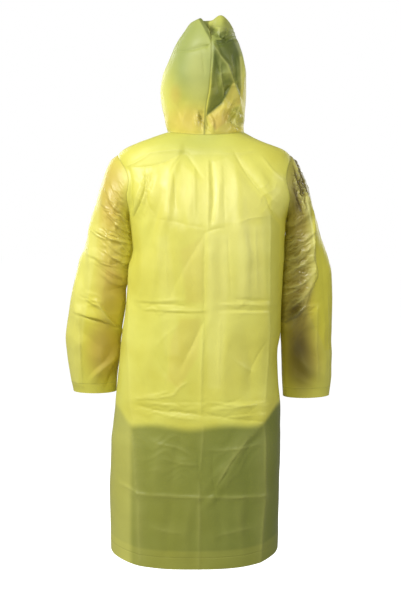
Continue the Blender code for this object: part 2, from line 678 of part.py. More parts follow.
def hood_grid(side):
    """Outer face of one half of the hood, rows from the neck to the crown."""
    last = HOOD["row"][-1]
    neck = divide(neck_half(side), HOOD_COLUMNS)
    rows = []
    for row in np.linspace(0.0, last, HOOD_ROWS + 1):
        line = divide(hood_row(row, side), HOOD_COLUMNS)
        rows.append(line + (neck - line) * (1 - ease(row / NECK_EASE_ROWS)))
    grid = np.array(rows)
    levels = np.linspace(0.0, last, HOOD_ROWS + 1)
    seam_x = smooth(HOOD["row"], HOOD["seam_x"], levels)[:, None]
    beside = np.exp(-(((grid[..., 0] - seam_x) / DIMPLE_WIDTH[side]) ** 2))
    y, z = grid[..., 1], grid[..., 2]
    place = ((y - DIMPLE_CENTRE[0]) / DIMPLE_REACH[0]) ** 2
    place += ((z - DIMPLE_CENTRE[1]) / DIMPLE_REACH[1]) ** 2
    depth = DIMPLE_DEPTH * beside * np.exp(-place)
    away = np.linalg.norm(grid - np.array(LOBE_CENTRE), axis=2) / LOBE_REACH
    rise = np.zeros(grid.shape)
    rise[..., 2] = LOBE_RISE * np.exp(-(away**2))
    return grid + depth[..., None] * np.array(DIMPLE_DIRECTION) + rise


def make_hood(name, side):
    grid = hood_grid(side)
    fade = fade_from(grid, columns=(0, -1), rows=(0, -1))
    behind = ease(0.5 + grid[..., 1] / SEAM_FADE)
    grid = folded(grid, HOOD_FOLDS, fade * behind)
    levels = np.linspace(0.0, HOOD["row"][-1], HOOD_ROWS + 1)
    seam = np.zeros(grid.shape[:2], dtype=bool)
    seam[:, 0] = True
    seam[-1, :] = True
    seam[:, -1] = smooth(HOOD["row"], HOOD["open_half"], levels) < SEAM_GAP
    wall(name, grid, [WALL] * len(grid), flat_x=seam)


def make_snap(name, front, height):
    """Low domed cap on the left front's overlap."""
    column = front[:, FRONT_COLUMNS + 2]
    middle = np.array([np.interp(height, column[:, 2], column[:, i]) for i in range(3)])
    normal = grid_normals(front, False)[:, FRONT_COLUMNS + 2]
    facing = np.array([np.interp(height, column[:, 2], normal[:, i]) for i in range(3)])
    facing /= np.linalg.norm(facing)
    side = np.cross([0.0, 0.0, 1.0], facing)
    side /= np.linalg.norm(side)
    up = np.cross(facing, side)
    rings = ((1.0, 0.0), (1.0, 0.4), (0.86, 0.75), (0.5, 0.97))
    mesh = bmesh.new()
    turns = [2 * math.pi * i / SNAP_SIDES for i in range(SNAP_SIDES)]
    loops = []
    for share, rise in rings:
        centre = middle + facing * (SEAM_GAP + rise * SNAP_HEIGHT)
        radius = share * SNAP_RADIUS
        loops.append([
            mesh.verts.new(centre + radius * (math.cos(t) * side + math.sin(t) * up))
            for t in turns
        ])
    for low, high in zip(loops, loops[1:]):
        for i in range(SNAP_SIDES):
            k = (i + 1) % SNAP_SIDES
            mesh.faces.new([low[i], low[k], high[k], high[i]])
    mesh.faces.new(loops[0][::-1])
    mesh.faces.new(loops[-1])
    bmesh.ops.recalc_face_normals(mesh, faces=mesh.faces)
    add_object(name, mesh)


for old in list(bpy.data.objects):
    bpy.data.objects.remove(old, do_unlink=True)
make_back()
left_front = make_front("front_left", LEFT)
make_front("front_right", RIGHT)
make_sleeve("sleeve_left", LEFT)
make_sleeve("sleeve_right", RIGHT)
make_hood("hood_left", LEFT)
make_hood("hood_right", RIGHT)
for number, height in enumerate(SNAP_HEIGHTS, start=1):
    make_snap(f"snap_{number}", left_front, height)
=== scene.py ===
"""Looks of the hooded raincoat: thin lime-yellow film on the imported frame.

Metres, in the frame's own axes: +X is the wearer's left, -Y the front of the coat, +Y its back.
Every panel is a thin shell on its solid's form, with finer rows and finer folds. A table is a text
of numbers with a comma after each row. Folds, crumples and tones are in millimetres, placed as the
coat is seen from behind or from the front.
"""

import math

import bmesh
import bpy
import numpy as np
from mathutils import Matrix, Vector, noise
from mathutils.kdtree import KDTree


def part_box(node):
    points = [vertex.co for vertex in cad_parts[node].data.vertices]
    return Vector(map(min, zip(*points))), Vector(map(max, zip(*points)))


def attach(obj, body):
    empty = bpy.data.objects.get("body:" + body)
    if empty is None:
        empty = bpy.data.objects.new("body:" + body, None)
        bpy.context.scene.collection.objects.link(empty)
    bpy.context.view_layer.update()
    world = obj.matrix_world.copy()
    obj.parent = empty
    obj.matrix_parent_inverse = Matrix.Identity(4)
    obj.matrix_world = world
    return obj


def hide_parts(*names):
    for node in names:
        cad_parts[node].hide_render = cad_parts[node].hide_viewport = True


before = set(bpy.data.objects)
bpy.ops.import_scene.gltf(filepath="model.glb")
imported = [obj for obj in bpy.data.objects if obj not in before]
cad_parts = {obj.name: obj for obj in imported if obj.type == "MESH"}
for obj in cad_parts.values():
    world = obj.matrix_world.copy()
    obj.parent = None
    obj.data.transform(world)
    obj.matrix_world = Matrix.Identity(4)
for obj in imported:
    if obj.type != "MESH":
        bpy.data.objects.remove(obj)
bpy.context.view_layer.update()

# ---- camera
CAMERA_DISTANCE = 2.8  # from the coat's middle plane, behind the coat
CAMERA_HEIGHT = -0.25  # against the neck seam
FOCAL_PIXELS = 1085.3
PICTURE = (401, 601)  # pixels
MIDDLE_PIXEL = (204.0, 229.4)  # where the camera looks straight ahead
SENSOR = 36.0  # mm
FLOOR_LEVEL = -1.46
FLOOR_SPAN = 40.0

# ---- the coat's sizes
MM = 0.001
TINY = 1e-12
BACK, FRONT = 1, -1
LEFT, RIGHT = 1, -1
FACES = {BACK: "back", FRONT: "front"}
TURN_UP_GAP = 0.0009  # between the two layers of a turned-up edge
HEM_LEVEL = -1.056
HEM_TURN_UP = 0.045
HEM_WELD = 0.028  # the hem's weld above its edge
CUFF_TURN_UP = 0.026
FACE_TURN_IN = 0.018
ARMPIT_LEVEL = -0.225
SHOULDER_LEVEL = -0.058
ARMHOLE_MIDDLE = (SHOULDER_LEVEL + ARMPIT_LEVEL) / 2
ARMHOLE_HALF = (SHOULDER_LEVEL - ARMPIT_LEVEL) / 2
ARMHOLE_REACH = 0.085
ARMHOLE_SHARE = 0.34  # part of a row that makes room for an armhole
NECK_HALF_WIDTH = 0.098
NECK_MIDDLE = -0.005
NECK_DEPTH = {BACK: 0.084, FRONT: 0.096}
NECK_DROP = {BACK: 0.013, FRONT: 0.075}
YOKE_DROP = {BACK: 0.006, FRONT: 0.045}
YOKE_FADE = 0.240  # height below the shoulders over which its drop dies out
YOKE_ROUND = 0.010
HEM_DIP = {BACK: 0.024, FRONT: 0.010}  # hem's middle below its sides
HEM_FADE = 0.26  # height over which the hem's dip dies out
HEM_CURVE = 1.8  # how late the hem dips as it leaves a side seam
SHOULDER_ROUND = {LEFT: 0.004, RIGHT: -0.004}
SHOULDER_TURN = 0.070  # steepness with which the yoke leaves the level of the armholes
OVERLAP = 0.020  # of the fronts, past the middle
LAPEL_REACH = 1.8 * OVERLAP  # from the middle to where a front's lapel begins
LAPEL_RAMP = 0.75 * OVERLAP
LAPEL_CALM = 1.2 * OVERLAP  # no folds nearer to the middle
LAPEL_STEP = 0.0036  # the upper front lies this much further out
LAPEL_WELD = 0.036  # from a front's edge
UNDERLAP_SHORT = 0.1 * OVERLAP  # the lower front stops short of the upper one's reach
SNAPS = 5
SNAP_RADIUS = 0.0065
SNAP_HEIGHT = 0.0024
SNAP_SIDES = 32

BODY_ROWS, ARMHOLE_ROWS, YOKE_ROWS = 270, 92, 44
BACK_COLUMNS, FRONT_COLUMNS, LAPEL_COLUMNS = 216, 90, 18
SLEEVE_ROWS = 320
HOOD_ROWS, HOOD_COLUMNS = 230, 200
FINE = 900  # points of a line before it is divided
EDGE_STRETCHES = 400  # of a line that distances are taken from


def table(columns, text):
    """Named columns of a text's rows, sorted by the first column."""
    names = columns.split()
    rows = np.array(text.replace(",", " ").split(), dtype=float).reshape(-1, len(names))
    return np.array(sorted(map(tuple, rows)), dtype=[(name, float) for name in names])


# Sections of the body: half width, x of the middle, depth behind and in front, and how square they
# are, between 2 for an ellipse and more for a box.
BODY = table("level half_width middle back front squareness", """
    -.04 .203 .001 .099 .092 2.3,
    -.058 .2205 .0005 .104 .097 2.4,
    -.085 .2295 -.004 .113 .107 2.5,
    -.12 .2325 -.008 .124 .119 2.6,
    -.16 .228 -.01 .135 .131 2.7,
    -.2 .209 -.011 .143 .14 2.7,
    -.225 .2005 -.0105 .146 .144 2.7,
    -.26 .1965 -.012 .148 .148 2.7,
    -.3 .1935 -.0125 .148 .15 2.7,
    -.357 .197 -.006 .146 .149 2.7,
    -.43 .1975 -.0015 .142 .146 2.7,
    -.515 .202 .006 .14 .144 2.7,
    -.557 .201 .0125 .14 .143 2.7,
    -.633 .206 .016 .141 .143 2.7,
    -.69 .2115 .016 .143 .144 2.8,
    -.744 .214 .018 .145 .145 2.8,
    -.788 .2167 .0205 .147 .147 2.9,
    -.948 .2155 .0245 .15 .151 3,
    -1.1 .212 .0246 .153 .154 3
""")
# Rings of the sleeves: outer and inner end, reach to the front and back, and the middle between them.
LEFT_SLEEVE = table("ring outer_x outer_z inner_x inner_z reach middle_y", """
    1 .2395 -.0725 .1935 -.231 .083 -.001,
    2 .252 -.0955 .193 -.238 .081 -.002,
    3 .262 -.123 .191 -.246 .079 -.003,
    4 .271 -.15 .189 -.256 .077 -.004,
    5 .278 -.18 .1865 -.27 .075 -.005,
    6 .2885 -.212 .185 -.288 .073 -.006,
    7 .298 -.247 .1865 -.31 .072 -.007,
    8 .3075 -.285 .19 -.337 .071 -.008,
    9 .3195 -.324 .1955 -.37 .07 -.01,
    10 .3275 -.366 .2 -.407 .07 -.013,
    11 .339 -.408 .2035 -.447 .069 -.017,
    12 .3485 -.45 .2095 -.487 .069 -.022,
    13 .356 -.492 .215 -.527 .067 -.028,
    14 .361 -.534 .2195 -.565 .065 -.035,
    15 .358 -.576 .2235 -.603 .062 -.043,
    16 .3515 -.622 .2275 -.638 .059 -.051,
    17 .343 -.673 .2305 -.674 .055 -.058
""")
RIGHT_SLEEVE = table("ring outer_x outer_z inner_x inner_z reach middle_y", """
    1 .2375 -.0725 .2145 -.231 .083 -.001,
    2 .249 -.096 .2145 -.238 .081 -.002,
    3 .261 -.123 .2135 -.246 .079 -.003,
    4 .272 -.15 .2125 -.256 .077 -.004,
    5 .278 -.18 .212 -.27 .075 -.005,
    6 .2865 -.212 .2115 -.29 .073 -.006,
    7 .298 -.247 .211 -.315 .072 -.007,
    8 .31 -.285 .2095 -.345 .071 -.008,
    9 .3215 -.324 .2075 -.378 .07 -.01,
    10 .3305 -.366 .2055 -.415 .07 -.013,
    11 .3325 -.408 .2035 -.455 .069 -.017,
    12 .333 -.45 .202 -.495 .069 -.022,
    13 .333 -.492 .2015 -.533 .067 -.028,
    14 .333 -.534 .202 -.57 .065 -.035,
    15 .3345 -.576 .203 -.608 .062 -.043,
    16 .3345 -.625 .205 -.645 .059 -.051,
    17 .329 -.684 .2075 -.687 .056 -.058
""")
SLEEVES = {LEFT: LEFT_SLEEVE, RIGHT: RIGHT_SLEEVE}
SLEEVE_EASE_RINGS = 5  # over which a sleeve leaves the armhole's form
TOUCH_GAP = 0.0008  # between a sleeve and the body where it lies against it
TOUCH_REACH = 0.0075  # most that a sleeve is let out to lie there
TOUCH_TOP = ARMPIT_LEVEL + 0.012
TOUCH_LEVEL = {LEFT: -0.420, RIGHT: -0.560}  # lowest place where it does
TOUCH_FADE = (0.035, 0.08)  # at the top and at the lowest place
INNER_SIDE = (1.6, 0.35)  # how fast the inner side begins round a sleeve, and how late

# Rows of the hood from the neck to the crown: its back seam, its widest place on each side, the middle
# of the brow, and the edge of the face opening.
HOOD = table("row seam_x back_y back_z left_x right_x side_y side_z brow_x open_half edge_y edge_z", """
    0 -.003 .084 -.013 .093 -.103 0 0 0 .042 -.093 -.07,
    1 -.003 .088 .045 .107 -.107 -.008 .045 -.001 .074 -.112 -.02,
    2 -.011 .101 .095 .115 -.11 -.01 .098 -.003 .088 -.119 .045,
    3 -.015 .113 .14 .108 -.11 -.008 .145 -.005 .087 -.12 .105,
    4 -.018 .117 .185 .09 -.102 -.005 .187 -.008 .073 -.118 .157,
    5 -.018 .11 .225 .073 -.091 -.002 .225 -.01 .052 -.114 .197,
    6 -.016 .097 .256 .053 -.078 .002 .256 -.012 .026 -.108 .226,
    7 -.013 .08 .279 .034 -.066 .006 .28 -.013 0 -.096 .25,
    8 -.011 .058 .288 .014 -.044 .01 .29 -.011 0 -.066 .27,
    9 -.009 .03 .29 -.009 -.009 .004 .289 -.009 0 -.025 .284
""")
FACE_CURVE = 2.2  # how late a row turns in towards the face opening
NECK_EASE_ROWS = 1.6  # over which the hood leaves the neckline's form
DIMPLE_DEPTH = 0.040  # of the hollow beside the crown's seam
DIMPLE_CENTRE = (0.074, 0.276)  # y and z
DIMPLE_REACH = (0.040, 0.036)
DIMPLE_WIDTH = 0.021  # to the right of the seam
DIMPLE_FLAT = 0.30  # share of the pocket left of the seam that is as deep as the seam
DIMPLE_DIRECTION = (0.0, -0.85, -0.53)
POCKET_EDGE = (-0.0196, 0.235, 0.595)  # x of the pocket's left edge at a level, and its lean
POCKET_LEAST = 0.002  # least width of that pocket
HOOD_LUMPS = (  # centre, reach and rise of the right half's lobe and of the lower peak beside it
    ((-0.044, 0.045, 0.300), 0.024, 0.010),
    ((0.008, 0.035, 0.300), 0.024, -0.007),
)


# ---- folds
def folds(text):
    """Stretches with a fold. bow is how far a stretch's middle lies to one side, skew makes one
    flank wider than the other, and depth is outward."""
    return table("x0 z0 x1 z1 bow width skew depth", text)


def crumples(text):
    """Places of wrinkles: middle, reach, the wrinkles' turn in degrees above the horizontal, their
    spacing, how much longer than wide they are, and their height."""
    return table("x z reach_x reach_z turn spacing stretch height", text)


BACK_DRAPES = folds("""
    61 -58 91 -215 4 13 .3 4.5, 91 -215 124 -405 6 15 .3 4.5, 46 -236 28 -420 -4 16 0 -2.2,
    103 -165 134 -292 3 12 0 -3.5, 30 -105 34 -232 0 10 0 2.6, 73 -112 59 -236 0 9 0 -1.2,
    44 -60 10 -116 2 7 .3 -1.6, -40 -84 -37 -236 2 12 .2 2.8, -23 -90 -22 -228 0 5 0 -2.8,
    -66 -110 -70 -260 0 13 0 -1, -92 -100 -162 -188 6 13 0 -3, -112 -80 -182 -150 8 12 0 2.6,
    -78 -117 -86 -239 0 15 0 3, -118 -190 -128 -345 4 16 0 -1.4, -92 -250 -98 -420 -3 15 .2 2.2,
    -40 -260 -52 -430 3 14 0 -1.8, -16 -250 -20 -470 0 13 0 1.8, 150 -240 158 -420 0 12 0 3.5,
    152 -153 176 -214 -4 11 0 5, 130 -120 148 -186 3 9 0 -3.5, -142 -134 -188 -192 4 13 0 4,
    186 -240 182 -520 0 13 .2 3, 187 -452 179 -717 0 20 .2 4.5, 170 -740 156 -1056 0 20 .2 5,
    -162 -220 -164 -423 0 18 .2 4, -163 -430 -152 -700 0 20 .2 4.5, -151 -720 -140 -1062 0 20 .2 5,
    2 -480 54 -590 3 12 .3 -1.6, 132 -496 142 -648 3 15 0 3, 100 -470 92 -600 -3 15 0 -3,
    -59 -496 -47 -656 3 16 0 3, -103 -496 -116 -656 -3 17 0 -3.5, -130 -741 -85 -800 4 15 .3 5,
    -85 -800 -18 -905 -4 16 .3 5, -112 -765 -70 -820 4 12 0 -4, -66 -826 2 -915 -4 12 0 -4,
    78 -913 90 -1030 2 14 0 -3, 40 -930 44 -1040 0 14 0 2.5, -40 -915 -46 -1035 0 14 0 -2.5,
    -88 -918 -96 -1040 3 14 0 3, 60 -760 82 -890 4 16 0 -3, 112 -780 120 -880 0 14 0 2.5,
    -2 -261 80 -410 6 12 .4 -.9, 188 -108 180 -206 -3 8 .3 -4, -104 -262 -112 -412 0 9 .3 1.8,
    120 -300 112 -420 2 8 .3 -1.6
""")
BACK_CREASES = folds("""
    -12 -84 -10 -255 0 3 .3 2, -19 -92 -20 -228 0 3.5 0 -1.2, 53 -64 80 -106 2 3.5 .3 -1.1,
    42 -58 10 -114 1 3.5 .3 -1.1, -152 -531 -113 -609 3 3.5 .2 -1, 0 -477 49 -577 1 3.5 .3 -1,
    -3 -259 -1 -470 1 3.5 .4 -1.8, 0 -470 7 -706 2 4 .4 1.8, 2 -738 10 -840 -1 3.5 .4 1.6,
    10 -855 12 -1077 0 3.5 .4 1.8, 209 -92 135 -60 7 4.5 0 1.8, 135 -60 50 -55 -3 5 0 2,
    174 -96 60 -64 8 4 0 -1.6, -78 -63 -154 -170 5 4 .4 -2.2, -154 -170 -176 -218 2 3.5 0 -2,
    -147 -74 -203 -128 4 4.5 0 2, -118 -55 -56 -60 -3 4.5 0 1.5, 147 -112 150 -160 -2 4 0 -2.6,
    150 -160 174 -218 -3 4 0 -2.8, 160 -150 168 -196 2 5 0 2.4, 108 -226 37 -240 -2 2.6 0 -.6,
    37 -240 -5 -247 -1 2.6 0 -.6, -5 -256 -44 -246 -1 3 .3 -1.3, -83 -234 -142 -219 -3 2.6 0 .8,
    160 -427 58 -424 1 3 0 1.5, 158 -433 49 -437 -1 3 0 -1.6, 150 -447 4 -450 1 3.2 0 1.5,
    146 -453 0 -457 0 3 0 -1.3, -83 -423 -163 -425 1 2.8 0 -1.5, -46 -434 -163 -436 0 3 0 1.4,
    -40 -448 -163 -450 0 3 0 -1.5, -70 -455 -160 -457 0 3 0 1.2, 186 -300 185 -523 0 4 .4 1.5,
    187 -523 178 -706 0 4 .4 1.8, 174 -760 162 -903 0 4 .4 2, 160 -903 156 -1062 0 4 .4 2,
    -163 -220 -160 -469 0 3.5 .4 1.6, -162 -469 -151 -668 0 3.5 .4 1.8, -149 -740 -150 -903 0 3.5 .4 2,
    -147 -915 -138 -1068 0 3.5 .4 2.2, 164 -668 74 -655 3 3.2 0 1.6, 74 -655 44 -628 -3 3 0 1.4,
    160 -684 78 -696 3 3.2 0 -1.6, 78 -696 2 -707 -2 3.2 0 -1.6, -10 -673 -159 -686 3 3.2 0 1.6,
    -3 -700 -144 -724 3 3.2 0 -1.6, 157 -673 -152 -673 0 2.4 0 -1, -5 -707 -152 -703 1 2.6 0 -1,
    -24 -692 -144 -677 2 3 0 1.3, 113 -776 34 -800 -5 3 0 1.3, -15 -790 -127 -780 4 3 0 1.2,
    96 -812 20 -826 4 3 0 1, 203 -881 160 -898 -2 3 .3 1.7, 160 -898 16 -904 1 3 .3 1.9,
    10 -904 -147 -907 0 3 .3 1.9, -104 -770 -30 -880 4 4 .3 1.8, -22 -805 -30 -915 3 5 0 -1.8,
    14 -800 6 -880 3 4.5 0 -1.5, 120 -980 60 -990 3 4 0 .9, -30 -1000 -110 -985 -3 4 0 .9,
    66 -490 110 -530 4 5 0 .7, -66 -560 -120 -600 5 5 0 1.2, 120 -560 60 -640 6 5 0 -.6,
    194 -109 186 -163 -2 3.5 .3 -2.4, 186 -163 180 -204 -2 3.5 .3 -2.4, 140 -119 142 -173 1 3 .3 -1.5,
    142 -173 125 -207 2 3 .3 -1.3, 73 -117 68 -190 1 3 .3 -1.3, 24 -92 20 -214 0 2.8 .3 1.2,
    -48 -96 -52 -232 1 2.8 .3 -.9, -2 -261 46 -344 3 3.2 .4 -.5, 46 -344 82 -416 2 3 .4 -.3,
    96 -262 88 -408 1 2.8 .3 .9, -58 -262 -66 -410 -1 2.8 .3 -.9, -128 -250 -132 -400 1 2.8 .3 .9,
    144 -662 96 -650 2 2.8 0 1.2, 150 -676 70 -684 -2 2.6 0 1.1, 110 -700 20 -716 2 2.8 0 1.2,
    -20 -684 -90 -664 2 2.6 0 -1.1, -60 -712 -150 -706 -1 2.6 0 1.1, 86 -466 90 -640 2 2.8 .3 -.8,
    -40 -480 -36 -640 1 2.8 .3 .8
""")
FRONT_DRAPES = folds("""
    150 -150 120 -320 4 18 0 -5, 95 -130 80 -300 3 16 0 4, 60 -150 66 -290 0 14 0 -3,
    -150 -150 -118 -330 -4 18 0 -5, -90 -130 -78 -310 3 16 0 4.5, -56 -160 -60 -320 0 14 0 -3,
    165 -420 158 -1050 0 22 .2 4.5, -150 -400 -138 -1050 0 22 .2 4.5, 90 -420 60 -640 5 18 0 -4,
    -95 -440 -70 -700 -5 18 0 -4.5, 80 -760 70 -1040 0 20 0 -4, -85 -740 -80 -1045 0 20 0 4,
    120 -340 128 -420 3 12 0 3, -116 -350 -128 -440 3 12 0 3
""")
FRONT_CREASES = folds("""
    186 -300 180 -720 0 4 .4 1.7, 174 -760 158 -1060 0 4 .4 2, -163 -260 -152 -700 0 4 .4 1.7,
    -150 -740 -138 -1064 0 4 .4 2, 150 -426 42 -430 2 3 0 1.6, 146 -446 40 -449 0 3 0 -1.4,
    -40 -430 -150 -424 0 3 0 1.6, -38 -448 -146 -452 0 3 0 -1.4, 150 -668 44 -660 3 3.2 0 1.6,
    140 -692 40 -704 3 3.2 0 -1.6, -36 -664 -146 -676 -3 3.2 0 1.6, -40 -700 -140 -692 3 3.2 0 -1.4,
    152 -900 42 -903 1 3 .3 1.8, -38 -902 -146 -897 1 3 .3 1.8, 150 -216 44 -240 -5 3 0 -1.1,
    -44 -236 -150 -214 -5 3 0 -1.1, 190 -95 110 -78 6 4.5 0 1.8, -110 -80 -188 -100 6 4.5 0 1.8,
    120 -770 52 -860 5 5 .3 1.8, -52 -760 -126 -830 -5 5 .3 1.8
""")
SLEEVE_BACK_DRAPES = folds("""
    250 -146 208 -204 5 7 -.5 2.5, 240 -178 202 -226 -4 7 -.5 3, 252 -196 196 -246 4 8 -.6 3.6,
    236 -224 192 -262 4 7 -.6 4.5, 262 -256 190 -288 4 9 -.6 3.6, 230 -272 187 -302 -3 7 -.5 4,
    278 -254 238 -276 3 8 -.6 3, 236 -290 190 -316 4 8 -.6 3.6, 238 -312 190 -338 4 8 -.6 5,
    276 -322 230 -340 3 10 -.6 4.5, 264 -342 196 -376 6 10 -.6 3.6, 232 -360 198 -384 -4 9 -.5 2.8,
    250 -370 204 -392 4 10 -.5 3.6, 226 -396 192 -408 3 12 0 -3, 314 -464 244 -490 -3 10 -.6 5,
    298 -424 264 -442 2 9 -.6 4, 264 -442 216 -506 3 8 .5 5, 240 -420 222 -470 3 12 0 -2.4,
    318 -500 250 -560 6 18 0 -3.5, 276 -622 226 -560 6 13 .4 5.5, 250 -650 232 -600 4 10 .4 -4,
    322 -240 330 -640 0 14 .3 4, 300 -150 306 -420 0 14 0 -3.5, 286 -100 296 -330 0 10 0 2.5,
    -262 -176 -276 -250 2 9 .6 6.5, -276 -250 -281 -366 2 9 .6 6.5, -281 -366 -258 -450 3 10 .5 6,
    -258 -450 -210 -488 3 11 -.5 6, -300 -230 -308 -460 0 15 0 -3.5, -212 -238 -256 -216 4 10 -.5 3,
    -214 -272 -242 -264 -3 6 -.5 3, -230 -288 -272 -260 5 7 -.6 2.6, -211 -306 -250 -286 3 6 -.5 2.2,
    -238 -316 -274 -290 4 6 -.6 2.4, -210 -340 -262 -306 6 8 -.6 2.8, -224 -358 -274 -328 -4 6 -.5 2,
    -208 -378 -248 -350 4 8 -.6 2.8, -232 -392 -274 -356 5 8 -.6 2.8, -207 -404 -240 -394 -3 6 -.5 3.5,
    -212 -434 -268 -398 7 10 -.6 3.2, -206 -458 -244 -430 4 8 -.5 2.4, -208 -484 -252 -448 5 10 -.5 3.5,
    -228 -506 -284 -456 6 11 .5 2.6, -224 -560 -300 -618 6 16 0 3.5, -306 -460 -310 -650 0 13 .3 4,
    -246 -480 -240 -640 0 18 0 -3
""")
SLEEVE_BACK_CREASES = folds("""
    232 -138 210 -184 3 3 -.4 1.6, 224 -186 204 -222 -3 3 -.4 2, 254 -196 192 -247 3 3 -.4 -1.8,
    220 -240 190 -276 3 3 -.4 2.4, 246 -265 188 -281 -2 3 -.4 -2, 212 -286 188 -314 2 3 -.4 2.6,
    280 -252 243 -273 2 3 -.4 -1.8, 277 -325 230 -338 2 3 -.4 -2.2, 230 -338 204 -321 2 3 0 -1.6,
    220 -326 192 -352 2 3.5 -.4 2.4, 264 -342 213 -376 2 3 -.4 -2.2, 213 -376 192 -372 1 3 0 -1.8,
    230 -402 195 -394 1 3 0 -2.4, 316 -467 243 -492 2 3.2 -.4 -2.6, 243 -492 222 -502 1 3.2 -.4 -2.6,
    299 -424 266 -440 1 3.2 -.4 -2.2, 266 -440 222 -500 2 3.2 .4 2.4, 289 -244 292 -430 0 3.5 .4 1.6,
    318 -480 313 -655 0 3.5 .4 2.2, -224 -66 -252 -138 2 3 .3 2.6, -232 -66 -262 -150 2 3 .3 -2.8,
    -226 -90 -254 -168 2 3 .3 -2.6, -234 -96 -260 -180 2 3 .3 3, -228 -118 -252 -196 2 3 .3 2.6,
    -242 -120 -266 -196 2 3 .3 -2.8, -230 -150 -248 -212 2 3.5 .3 -2.6, -256 -146 -271 -216 2 3 .4 3,
    -271 -216 -281 -330 2 3 .4 2.6, -281 -330 -276 -410 2 3 .4 2.4, -213 -290 -236 -272 2 3 -.4 1.8,
    -232 -306 -262 -286 -3 3 -.4 1.8, -211 -326 -240 -318 3 3 -.4 2.2, -236 -344 -264 -324 3 3 -.4 1.6,
    -209 -366 -256 -340 -3 3 -.4 2, -222 -398 -262 -378 3 3 -.4 2, -208 -418 -238 -400 2 3 -.4 2.4,
    -226 -444 -258 -416 3 3 -.4 2, -236 -502 -276 -462 3 3 .4 -1.4, -288 -452 -294 -640 3 3.5 .4 1.8,
    -318 -420 -322 -650 0 3.5 .4 1.8
""")
SLEEVE_FRONT_DRAPES = folds("""
    262 -180 196 -240 5 10 .3 5, 272 -206 200 -262 -4 9 .3 -4.5, 285 -240 200 -285 5 10 .3 5,
    290 -270 204 -312 -5 10 .3 -5.5, 300 -330 212 -362 5 12 0 5, 310 -380 214 -398 -5 12 0 -5.5,
    318 -430 222 -440 5 12 0 5, 325 -540 236 -510 5 13 0 -4, -262 -180 -216 -240 5 10 .3 5,
    -272 -210 -216 -262 5 9 .3 -4.5, -285 -240 -216 -285 -5 10 .3 5, -292 -280 -214 -318 5 10 .3 -5.5,
    -300 -325 -214 -352 5 12 0 5, -308 -372 -212 -392 -5 12 0 -5.5, -315 -425 -212 -435 5 12 0 5,
    -315 -545 -222 -515 5 13 0 -4
""")
SLEEVE_FRONT_CREASES = folds("""
    250 -210 206 -236 4 4 .3 2.2, 262 -256 206 -282 4 4 .3 2.2, 270 -300 210 -330 -4 4 .3 -2.2,
    286 -350 216 -378 4 4 .3 2.2, 322 -300 318 -650 0 3.5 .4 2, -250 -206 -218 -236 4 4 .3 2.2,
    -264 -256 -216 -284 4 4 .3 2.2, -270 -300 -216 -334 -4 4 .3 -2.2, -288 -350 -214 -380 4 4 .3 2.2,
    -318 -340 -322 -650 0 3.5 .4 2
""")
HOOD_BACK_DRAPES = folds("""
    50 216 -8 228 4 10 -.3 -2, -20 222 -17 128 0 5 -.4 3.5, -17 128 -6 56 1 5 -.4 1.4,
    -40 196 -38 96 2 16 0 -5.5, -27 224 -59 176 1 9 .3 3.5, -59 176 -76 132 1 9 .3 4,
    -76 132 -93 73 1 9 .3 4, -76 128 -46 74 2 13 .2 -4.5, -46 74 -10 44 2 10 .2 -3.5,
    -56 62 -38 14 0 15 0 3, -43 172 -56 84 1 6 .3 2.5, -96 196 -98 110 0 7 .5 2.5,
    -62 46 -96 20 3 9 .2 -5, -72 60 -98 40 3 7 .2 3.5, 80 120 88 20 4 12 0 2.5, 62 84 70 20 4 10 0 -2,
    46 60 54 14 3 9 0 2, 15 48 17 12 2 6 .3 2.5, 8 44 -2 8 2 6 0 -3.5, -14 46 -22 10 -3 6 .4 3.5,
    -28 252 -70 240 3 7 -.4 -4, -26 268 -60 262 3 7 -.4 3.5
""")
HOOD_BACK_CREASES = folds("""
    4 202 0 152 0 3.2 .3 -1.6, -1 224 -17 228 1 3.4 .3 -2.6, 66 211 -1 224 2 3.4 .3 -1.4,
    -24 226 -59 176 1 3.2 .4 2.6, -59 176 -75 134 0 3.2 .4 2.6, -75 134 -93 73 1 3.2 .4 3,
    -43 173 -56 83 1 3 .3 2.4, -30 196 -44 150 2 3 .3 -2, -75 130 -46 73 1 3.4 -.2 -2.6,
    -46 73 -8 45 1 3.4 -.2 -2.4, -84 190 -94 96 2 3 .4 -2.4, -96 192 -99 112 0 3 .5 3.2,
    -70 200 -86 130 2 3 .3 1.6, -64 44 -88 20 2 3.4 .4 2.6, -70 34 -90 12 2 3.4 .4 -2.6,
    -82 58 -90 26 2 3.2 .4 2.4, -60 30 -84 4 -3 3.2 .4 2.4, -78 66 -100 44 2 3.2 .3 -2.4,
    12 48 -5 12 2 3.6 .4 -3.4, 8 46 1 8 -2 3 .4 3, -4 44 -14 10 2 3.4 .4 -2.6, 24 36 14 8 2 3.2 .4 2.2,
    -34 254 -70 246 3 3.2 -.3 -3, -28 270 -58 266 3 3.2 -.3 2.6, -44 232 -74 240 3 3.2 .3 -2.6,
    -40 262 -46 236 2 3.2 .3 2.4, -58 268 -64 240 2 3.2 .3 -2.2
""")
HOOD_FRONT_DRAPES = folds("""
    96 160 100 20 4 12 0 -3.5, -94 160 -98 20 4 12 0 -3.5, 84 60 60 -10 4 9 0 3, -84 64 -60 -10 4 9 0 3
""")
